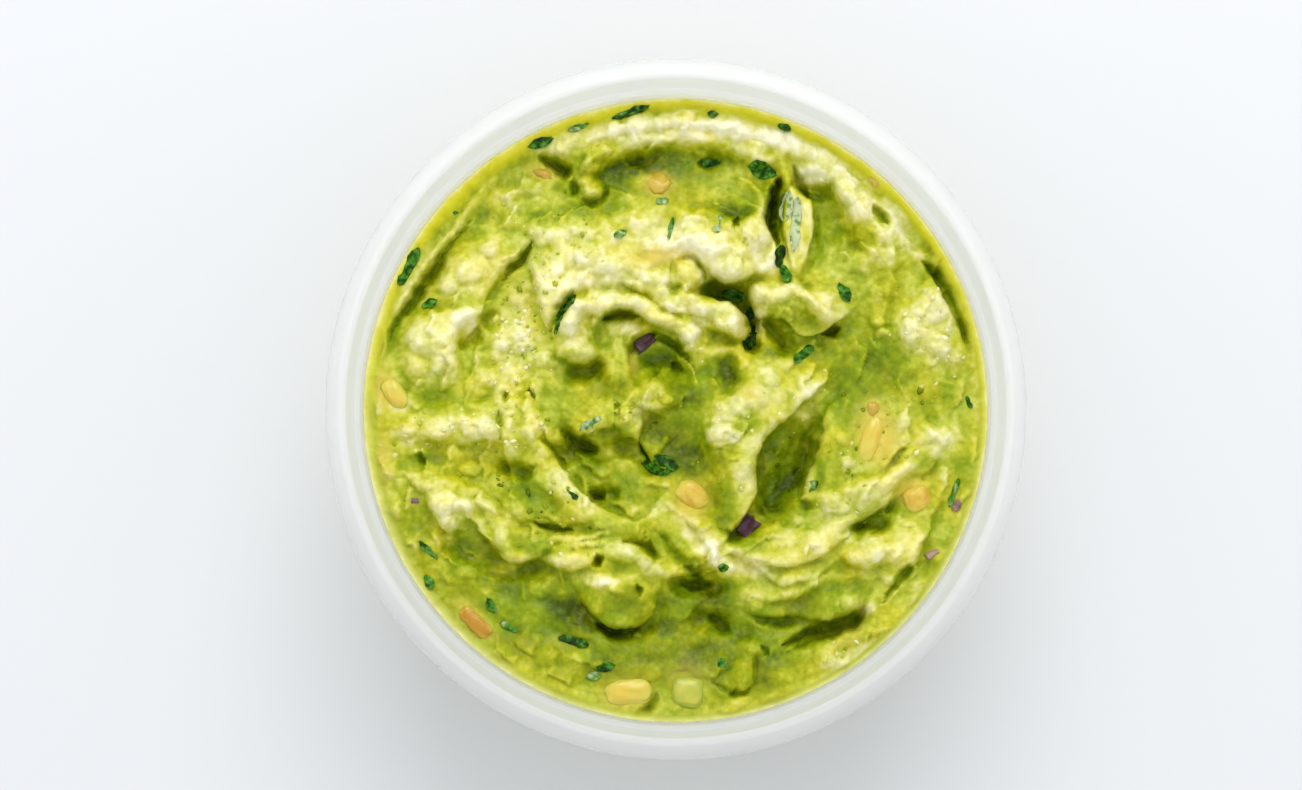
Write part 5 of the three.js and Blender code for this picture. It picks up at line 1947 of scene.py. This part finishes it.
@dataclass
class Dip:
    """The mashed avocado: a square grid pressed to a disc, raised by the relief, with a wall and a
    bottom that reach just into the tub."""

    relief: Relief
    cells: int = 300
    into_wall: float = 0.15
    wall_heights: tuple[float, ...] = (40, 25, 4)
    film_width: float = 2.2  # mm, the oily film that the dip leaves along the wall
    film_swing: float = 0.9
    film_widest: float = 120  # degrees from the tub's right
    level_window: float = 0.6  # mm, half the width over which the tone reads the height
    fine_window: float = 0.8  # mm, the same for small lumps
    broad_window: float = 3.0  # mm, the same for folds
    fine_relief: float = 0.5  # mm, the height of a small lump that is as pale as any
    broad_relief: float = 2.0  # mm, the same for a fold
    # painted light and painted shade from the dip's own shape: higher ground and the tops of lumps and folds
    # paler, low ground and hollows darker
    height_painted_shading: float = 0.022  # how much paler each mm of height is
    lump_painted_shading: float = 0.085
    fold_painted_shading: float = 0.09
    middle_tone: float = 0.53
    cloud_tone: float = 0.12  # how far broad clouds swing the tone
    side_tone: float = 0.55  # of the dip's side and bottom
    toned: KDTree | None = None  # the top's points, once it is made
    tones: Field | None = None

    def build(self) -> bpy.types.Object:
        """Makes the dip.

        Returns:
            The dip, standing for its frame node.
        """
        bm = bmesh.new()
        bmesh.ops.create_grid(bm, x_segments=self.cells, y_segments=self.cells, size=1)
        flat = np.array([v.co for v in bm.verts])[:, :2]
        radius = TUB.inner_radius(TUB.fill_z) + self.into_wall
        x, y = (radius * part for part in self.disc(flat[:, 0], flat[:, 1]))
        ground = self.relief.lay(x, y)
        seats = [Seat.of(place) for place in CHUNKS]
        z = self.seated(x, y, ground.z, seats)
        order = np.lexsort((flat[:, 0], flat[:, 1]))
        tone = self.tone(x, y, z, order)
        for vert, vx, vy, vz in zip(bm.verts, x + ground.lean_x, y + ground.lean_y, z + TUB.fill_z):
            vert.co = (vx, vy, vz)
        top_count = len(bm.verts)
        self.close(bm)
        total = len(bm.verts)
        dip = new_object("guacamole_dip", bm, MashedAvocado().material())
        self.toned = KDTree(top_count)
        for i, place in enumerate(zip(x, y, 0 * x)):
            self.toned.insert(place, i)
        self.toned.balance()
        self.tones = tone
        side = np.full(total - top_count, self.side_tone)
        edge = self.ring(x, y)
        add_attribute(dip, "tone", np.concatenate([tone, side]))
        add_attribute(dip, "edge", np.concatenate([edge, side * 0]))
        add_attribute(dip, "flesh", np.concatenate([self.flesh(x, y), side * 0]))
        log.info("dip top from %.1f to %.1f mm", z.min() + TUB.fill_z, z.max() + TUB.fill_z)
        return place_on_body(dip, "guacamole", "guacamole")

    @staticmethod
    def disc(a: Field, b: Field) -> tuple[Field, Field]:
        """Presses the square from -1 to 1 to the disc of radius 1, keeping its cells even.

        Args:
            a: Places along the square's first side.
            b: Places along its second side.

        Returns:
            The places on the disc.
        """
        wide = np.abs(a) > np.abs(b)
        radius = np.where(wide, a, b)
        safe = np.where(radius == 0, 1, radius)
        turn = np.where(wide, np.pi / 4 * b / safe, np.pi / 2 - np.pi / 4 * a / safe)
        return radius * np.cos(turn), radius * np.sin(turn)

    @staticmethod
    def flesh(x: Field, y: Field) -> Field:
        """How much firm avocado is smeared into each point: most beside a firm piece."""
        smeared = np.zeros_like(x)
        for patch in SMEARS:
            smeared = np.maximum(smeared, patch.tint(x, y))
        return np.clip(smeared, 0, 1)

    def ring(self, x: Field, y: Field) -> Field:
        """How far up the film at the wall each point lies, from 0 in the dip to 1 at the wall."""
        turn = np.arctan2(y, x)
        width = self.film_width + self.film_swing * np.cos(turn - math.radians(self.film_widest))
        width = width * (1 + 0.3 * self.relief.noises["streak"].wave(turn * 9, 0 * turn + 4, 2))
        return np.clip(1 + (np.hypot(x, y) - TUB.inner_radius(TUB.fill_z)) / width, 0, 1)

    def top(self, x: Field, y: Field) -> Field:
        """The height of the dip's top, in mm, at any places."""
        return TUB.fill_z + self.seated(x, y, self.relief.lay(x, y).z, [Seat.of(place) for place in CHUNKS])

    def seated(self, x: Field, y: Field, z: Field, seats: list[Seat]) -> Field:
        """Brings the dip's top to the level that each firm piece stands out of.

        Args:
            x: The points' x in mm.
            y: The points' y in mm.
            z: Their height over the mean level.
            seats: Where the firm pieces lie.

        Returns:
            The heights with the seats in.
        """
        uneven = 0.5 * self.relief.noises["crumb"].wave(x / 2.2, y / 2.2, 2)
        for seat in seats:
            along, across = seat.own(x, y)
            away = (along / (seat.half[0] + 0.9)) ** 2 + (across / (seat.half[1] + 0.9)) ** 2
            share = 0.92 * np.exp(-(away**2.5))
            z = z * (1 - share) + share * (seat.level + uneven)
        return z

    def tone(self, x: Field, y: Field, z: Field, order: Field) -> Field:
        """How pale the mash is: pale on crests and high ground, olive where it is sunk. This is painted
        light and painted shade laid over a tone that swings at random, and the tone patches add more painted
        shadow, painted light and the mash's own paler and more olive patches.

        Args:
            x: The points' x in mm.
            y: The points' y in mm.
            z: Their height over the mean level.
            order: The points' order, row by row.

        Returns:
            The tone of each point, from 0 for olive to 1 for pale.
        """
        side = self.cells + 1
        square = z[order].reshape(side, side)
        cell = 2 * TUB.inner_radius(TUB.fill_z) / self.cells
        fine = square - blurred(square, max(1, round(self.fine_window / cell)))
        broad = square - blurred(square, round(self.broad_window / cell))
        level = blurred(square, max(1, round(self.level_window / cell)))
        # painted light on high ground and tops, painted shade low down and in hollows
        shape = self.height_painted_shading * np.clip(level, -6, 4)
        shape += self.lump_painted_shading * np.clip(fine / self.fine_relief, -1, 1)
        shape += self.fold_painted_shading * np.clip(broad / self.broad_relief, -1.3, 1)
        tone = np.empty_like(z)
        tone[order] = shape.ravel()
        n = self.relief.noises
        tone += self.middle_tone + self.cloud_tone * n["swell"].wave(x / 7, y / 7, 3)
        # tone patches: painted shadow, painted light and the mash's own paler and more olive patches
        for patch in PAINTED_LIGHT_AND_TONE:
            tone += patch.tint(x, y)
        return np.clip(tone, 0, 1)

    def close(self, bm: bmesh.types.BMesh) -> None:
        """Takes the disc's edge down the wall and closes the bottom.

        Args:
            bm: The dip's top in mm.
        """
        rings = [(z, TUB.inner_radius(z) + self.into_wall) for z in self.wall_heights]
        rings.append((TUB.floor_z - self.into_wall, TUB.floor_radius - 1))
        ring = [edge for edge in bm.edges if edge.is_boundary]
        for height, radius in rings:
            made = bmesh.ops.extrude_edge_only(bm, edges=ring)["geom"]
            ring = [part for part in made if isinstance(part, bmesh.types.BMEdge)]
            for vert in {v for edge in ring for v in edge.verts}:
                flat = vert.co.xy.normalized() * radius
                vert.co = (flat.x, flat.y, height)
        last = list({v for edge in ring for v in edge.verts})
        made = bmesh.ops.extrude_edge_only(bm, edges=ring)["geom"]
        centre = [part for part in made if isinstance(part, bmesh.types.BMVert)]
        bmesh.ops.pointmerge(bm, verts=centre, merge_co=(0, 0, last[0].co.z))
        bmesh.ops.recalc_face_normals(bm, faces=bm.faces)


# ---------------------------------------------------------------- what is stirred in


@dataclass(frozen=True)
class Scrap:
    """A small piece in the dip's top: place on the plan grid, length and width in grid steps, turn to
    the left in degrees, and tone."""

    name: str
    at: tuple[float, float]
    size: tuple[float, float]
    turn: float = 0
    tone: float = 0.35


LEAVES = (
    Scrap("back streak", (632, 111), (38, 8), 20, 0.3),
    Scrap("back left", (542, 142), (27, 10), 17, 0.32),
    Scrap("back faint", (580, 126), (20, 7), 20, 0.65),
    Scrap("left wall", (410, 266), (40, 12), 62, 0.35),
    Scrap("left groove", (431, 303), (17, 9), 20, 0.42),
    Scrap("back large", (764, 169), (30, 15), -18, 0.4),
    Scrap("back olive", (712, 160), (19, 8), 0, 0.4),
    Scrap("crevice bright", (787, 274), (19, 10), -70, 0.52),
    Scrap("right of the knob", (846, 292), (21, 11), -60, 0.4),
    Scrap("pocket", (736, 293), (26, 12), -12, 0.5),
    Scrap("under the knob", (805, 353), (24, 10), 40, 0.48),
    Scrap("curl crevice", (569, 304), (24, 9), 52, 0.36),
    Scrap("middle large", (662, 464), (36, 19), -5, 0.28),
    Scrap("left pale", (593, 425), (26, 12), 32, 0.9),
    Scrap("crest foot", (574, 493), (15, 6), -50, 0.3),
    Scrap("low left wall", (431, 581), (15, 9), -60, 0.45),
    Scrap("low left a", (493, 605), (18, 8), -55, 0.52),
    Scrap("low left b", (510, 626), (18, 6), -30, 0.6),
    Scrap("low a", (575, 640), (30, 9), -15, 0.3),
    Scrap("low b", (607, 666), (20, 9), 12, 0.35),
    Scrap("left streak", (430, 550), (26, 6), -45, 0.5),
    Scrap("right streak", (955, 492), (28, 6), 70, 0.5),
    Scrap("back right", (786, 126), (13, 7), -20, 0.3),
    Scrap("back small", (714, 113), (11, 7), 0, 0.35),
    Scrap("left dot", (457, 212), (6, 4), 0, 0.35),
    Scrap("right wall", (970, 402), (12, 5), -70, 0.4),
    Scrap("valley", (812, 486), (16, 9), 45, 0.6),
    Scrap("front dot", (724, 567), (11, 8), 0, 0.5),
    Scrap("low right", (725, 664), (15, 9), -50, 0.62),
    Scrap("bowl", (664, 200), (12, 7), 0, 0.75),
    Scrap("slab vein", (672, 228), (26, 5), 80, 0.7),
    Scrap("slab", (622, 234), (15, 8), 30, 0.7),
    Scrap("sliver vein", (797, 224), (52, 10), 86, 1),
    Scrap("curl crevice low", (560, 321), (28, 6), 76, 0.38),
    Scrap("low b under", (595, 675), (15, 8), 10, 0.7),
    Scrap("sliver film", (788, 206), (30, 12), 80, 1),
    Scrap("slab film", (720, 224), (18, 9), 75, 0.85),
    Scrap("crevice dark", (781, 256), (24, 10), 80, 0.12),
    Scrap("pocket low", (752, 312), (22, 8), 72, 0.14),
    Scrap("pocket foot", (752, 335), (28, 13), 76, 0.18),
)

ONION = (
    Scrap("eye", (646, 341), (21, 12), 35, 0.25),
    Scrap("valley foot", (748, 525), (20, 16), 50, 0.35),
    Scrap("right wall", (958, 505), (10, 7), 60, 0.8),
    Scrap("right front", (933, 553), (13, 6), 30, 1.2),
    Scrap("left dot", (417, 500), (7, 5), 0, 0.7),
)

FLESH_BITS = (
    Scrap("back orange", (544, 172), (17, 10), -15, 0.85),
    Scrap("bowl orange", (660, 181), (26, 21), 0, 0.72),
    Scrap("right orange", (874, 408), (12, 14), 20, 0.75),
    Scrap("back right orange", (875, 181), (12, 8), -40, 0.7),
)


@dataclass
class Scraps:
    """Small pieces of one kind that lie in the dip's top, joined to one piece."""

    dip: Dip
    name: str
    finish: Finish
    slot: str
    scraps: tuple[Scrap, ...]
    lift: float = 0.3  # mm, how far a piece's middle lies over the dip's top
    sink: float = 0.3  # mm, how far the dip covers it here and there
    stiffness: float = 0.6  # how far a piece spans the dip's unevenness instead of lying into it
    seed: int = 50

    def outline(self, u: Field, v: Field, wave: float) -> tuple[Field, Field]:
        """Presses a square from -1 to 1 to the piece's outline, seen from above.

        Args:
            u: Places along the piece.
            v: Places across it.
            wave: A number that makes each outline its own.

        Returns:
            Places along and across, from -1 to 1.
        """
        ends = np.sqrt(np.clip(1 - np.abs(u) ** 2.4, 0.02, 1))
        ragged = 1 + 0.12 * np.sin(4 * u + wave) + 0.05 * np.sin(9 * u + 3 * wave)
        return u * (1 + 0.08 * np.sin(4 * v + wave)), v * ends * ragged

    def rise(self, u: Field, v: Field, wave: float) -> Field:
        """How much higher than its middle each part of the piece lies, in mm: a leaf's curled edges."""
        return 0.2 * v**2 * np.sin(2 * u + wave) + 0.15 * u**2 * np.cos(wave)

    def make(self, bm: bmesh.types.BMesh) -> None:
        """Gives the thin sheet its body."""
        bmesh.ops.solidify(bm, geom=bm.faces, thickness=0.22)

    def build(self) -> bpy.types.Object:
        """Makes all the pieces and joins them.

        Returns:
            The joined piece.
        """
        bm, noise = bmesh.new(), PlaneNoise(self.seed)
        places, tones, sizes = [], [], []
        for number, scrap in enumerate(self.scraps):
            made = bmesh.ops.create_grid(bm, x_segments=16, y_segments=9, size=1)["verts"]
            flat = np.array([v.co for v in made])
            wave = 1.7 * number
            along, across = self.outline(flat[:, 0], flat[:, 1], wave)
            along, across = along * scrap.size[0] / 2 * PLAN_STEP, across * scrap.size[1] / 2 * PLAN_STEP
            x, y = turned(along, across, math.radians(scrap.turn), on_plan(*scrap.at))
            places.append(np.stack([x, y, self.rise(flat[:, 0], flat[:, 1], wave)], 1))
            tones.append(np.full(len(made), scrap.tone))
            sizes.append(len(made))
        x, y, rise = np.concatenate(places).T
        edge = TUB.inner_radius(TUB.fill_z) - 0.4
        pulled = np.minimum(1, edge / np.hypot(x, y))
        x, y = x * pulled, y * pulled
        x, y = x + 0.12 * noise.wave(x / 0.9, y / 0.9), y + 0.12 * noise.wave(x / 0.9 + 30, y / 0.9)
        under = self.dip.top(x, y)
        z = self.lift + rise - self.sink * (0.2 + noise.wave(x / 3, y / 3))
        for part in np.split(np.arange(len(x)), np.cumsum(sizes)[:-1]):
            level = np.stack([x[part], y[part], np.ones(len(part))], 1)
            plane = level @ np.linalg.lstsq(level, under[part], rcond=None)[0]
            spanned = self.stiffness * plane + (1 - self.stiffness) * under[part]
            z[part] += np.maximum(spanned, under[part])
        for vert, vx, vy, vz in zip(bm.verts, x, y, z):
            vert.co = (vx, vy, vz)
        tone = bm.verts.layers.float.new("tone")
        for vert, value in zip(bm.verts, np.concatenate(tones)):
            vert[tone] = value
        self.make(bm)
        bmesh.ops.recalc_face_normals(bm, faces=bm.faces)
        piece = new_object(self.name, bm, self.finish.material())
        return place_on_body(piece, self.slot)


@dataclass(frozen=True)
class GrainPatch:
    """A part of the dip where crumbs of mash lie loose: its place, reach in grid steps and turn, how
    many crumbs it has, and their tone."""

    name: str
    at: tuple[float, float]
    count: int
    reach: tuple[float, float]
    turn: float = 0
    tone: float = 0.85


GRAIN_PATCHES = (
    GrainPatch("left scraped band", (520, 337), 150, (16, 52), -8, 0.84),
    GrainPatch("front wall", (838, 648), 16, (12, 8), 35, 0.85),
    GrainPatch("crest", (545, 503), 60, (34, 16), -30, 0.8),
    GrainPatch("upper left slab", (560, 250), 60, (34, 34), 0, 0.85),
    GrainPatch("beads", (470, 430), 70, (56, 14), 0, 0.9),
    GrainPatch("right lumps", (930, 330), 60, (22, 30), 0, 0.9),
    GrainPatch("right slab", (860, 440), 90, (44, 40), 0, 0.85),
    GrainPatch("flap", (738, 430), 60, (20, 40), -25, 0.95),
    GrainPatch("low band", (600, 670), 90, (110, 18), 0, 0.6),
    GrainPatch("back", (700, 160), 50, (90, 22), 0, 0.7),
    GrainPatch("leaves", (800, 560), 70, (50, 30), 0, 0.85),
    GrainPatch("all over", (677, 409), 600, (170, 170), 0, 0.7),
)


@dataclass
class Crumbs:
    """Loose crumbs of mash, smaller than rice, half sunk in the dip's top and joined to one piece."""

    dip: Dip
    doublings: int = 9  # the crumbs come from one, doubled this often
    radius: float = 0.34  # mm, of a middling crumb
    spread: float = 0.35
    flatness: float = 0.7
    sink: float = 0.12  # mm
    uneven: float = 0.25
    clear_of_wall: float = 2.2  # mm
    seed: int = 60

    def places(self, rng: np.random.Generator) -> tuple[Field, Field, Field]:
        """Draws the crumbs' places in mm and their tones."""
        drawn = []
        for patch in GRAIN_PATCHES:
            u, v = rng.normal(size=(2, patch.count)) * np.array(patch.reach)[:, None] * PLAN_STEP
            x, y = turned(u, v, math.radians(patch.turn), on_plan(*patch.at))
            tone = patch.tone - 0.15 + 0.15 * rng.normal(size=patch.count)
            drawn.append(np.stack([x, y, tone]))
        x, y, tone = np.concatenate(drawn, axis=1)
        edge = TUB.inner_radius(TUB.fill_z) - self.clear_of_wall
        kept = np.flatnonzero(np.hypot(x, y) < edge)[: 2**self.doublings]
        x, y = x[kept], y[kept]
        # the dip's tone under each crumb, with its painted light and painted shade, carries into the crumb
        under = self.dip.tones[[self.dip.toned.find((*place, 0))[1] for place in zip(x, y)]]
        return x, y, np.clip(under + tone[kept] - 0.7, 0, 0.86)

    def build(self) -> bpy.types.Object:
        """Makes all the crumbs and joins them.

        Returns:
            The joined piece.
        """
        rng = np.random.default_rng(self.seed)
        x, y, tone = self.places(rng)
        z = self.dip.top(x, y) - self.sink
        bm = bmesh.new()
        bmesh.ops.create_icosphere(bm, subdivisions=1, radius=1)
        for _ in range(self.doublings):
            bmesh.ops.duplicate(bm, geom=[*bm.verts, *bm.edges, *bm.faces])
        ball = np.array([v.co for v in bm.verts]).reshape(len(x), -1, 3)
        size = self.radius * np.exp(self.spread * rng.normal(size=len(x)))
        shape = size[:, None] * (1 + self.uneven * rng.normal(size=(len(x), 3)))
        shape[:, 2] = size * self.flatness
        turn = rng.uniform(0, math.tau, len(x))[:, None]
        own = ball * shape[:, None, :] * (1 + 0.12 * rng.normal(size=ball.shape[:2]))[..., None]
        own_x, own_y = turned(own[..., 0], own[..., 1], turn)
        places = np.stack([own_x + x[:, None], own_y + y[:, None], own[..., 2] + z[:, None]], 2)
        for vert, place in zip(bm.verts, places.reshape(-1, 3)):
            vert.co = place
        piece = new_object("mash_crumbs", bm, MashedAvocado(name="mashed avocado, crumbs").material())
        add_attribute(piece, "tone", np.repeat(tone, ball.shape[1]))
        return place_on_body(piece, "guacamole")


@dataclass
class FleshBits(Scraps):
    """Small pieces of firm avocado, smeared flat into the mash."""

    lift: float = 0.1

    def rise(self, u: Field, v: Field, wave: float) -> Field:
        """A low dome, thickest in the middle."""
        return 0.45 * (1 - u**2) * (1 - v**2)


@dataclass
class OnionDice(Scraps):
    """Diced onion: small thick slabs that keep their cut edges."""

    def outline(self, u: Field, v: Field, wave: float) -> tuple[Field, Field]:
        """A slab with uneven sides."""
        return u * (1 - 0.15 * v * np.sin(wave + 1)), v * (1 - 0.25 * u * np.cos(wave + 1))

    def rise(self, u: Field, v: Field, wave: float) -> Field:
        """The slab's bend, as one layer of an onion has."""
        return 0.5 - 0.4 * v**2

    def make(self, bm: bmesh.types.BMesh) -> None:
        """Gives the slab its thickness."""
        bmesh.ops.solidify(bm, geom=bm.faces, thickness=0.9)


# ---------------------------------------------------------------- run


def main() -> None:
    """Builds the scene in order."""
    logging.basicConfig(level=logging.INFO, format="%(message)s")
    Studio().build()
    dip = Dip(Relief())
    smeared = FirmAvocado(name="avocado flesh, smeared")
    built = [
        DeliTub().build(),
        dip.build(),
        *AvocadoChunks().build(),
        Scraps(dip, "coriander", CorianderLeaf(), "guacamole", LEAVES).build(),
        OnionDice(dip, "red_onion", RedOnion(), "guacamole", ONION, seed=51).build(),
        Crumbs(dip).build(),
        FleshBits(dip, "avocado_bits", smeared, "avocado_flesh", FLESH_BITS, seed=52).build(),
    ]
    for piece in built:
        log.info("%s: %d vertices", piece.name, len(piece.data.vertices))


if __name__ == "__main__":
    main()
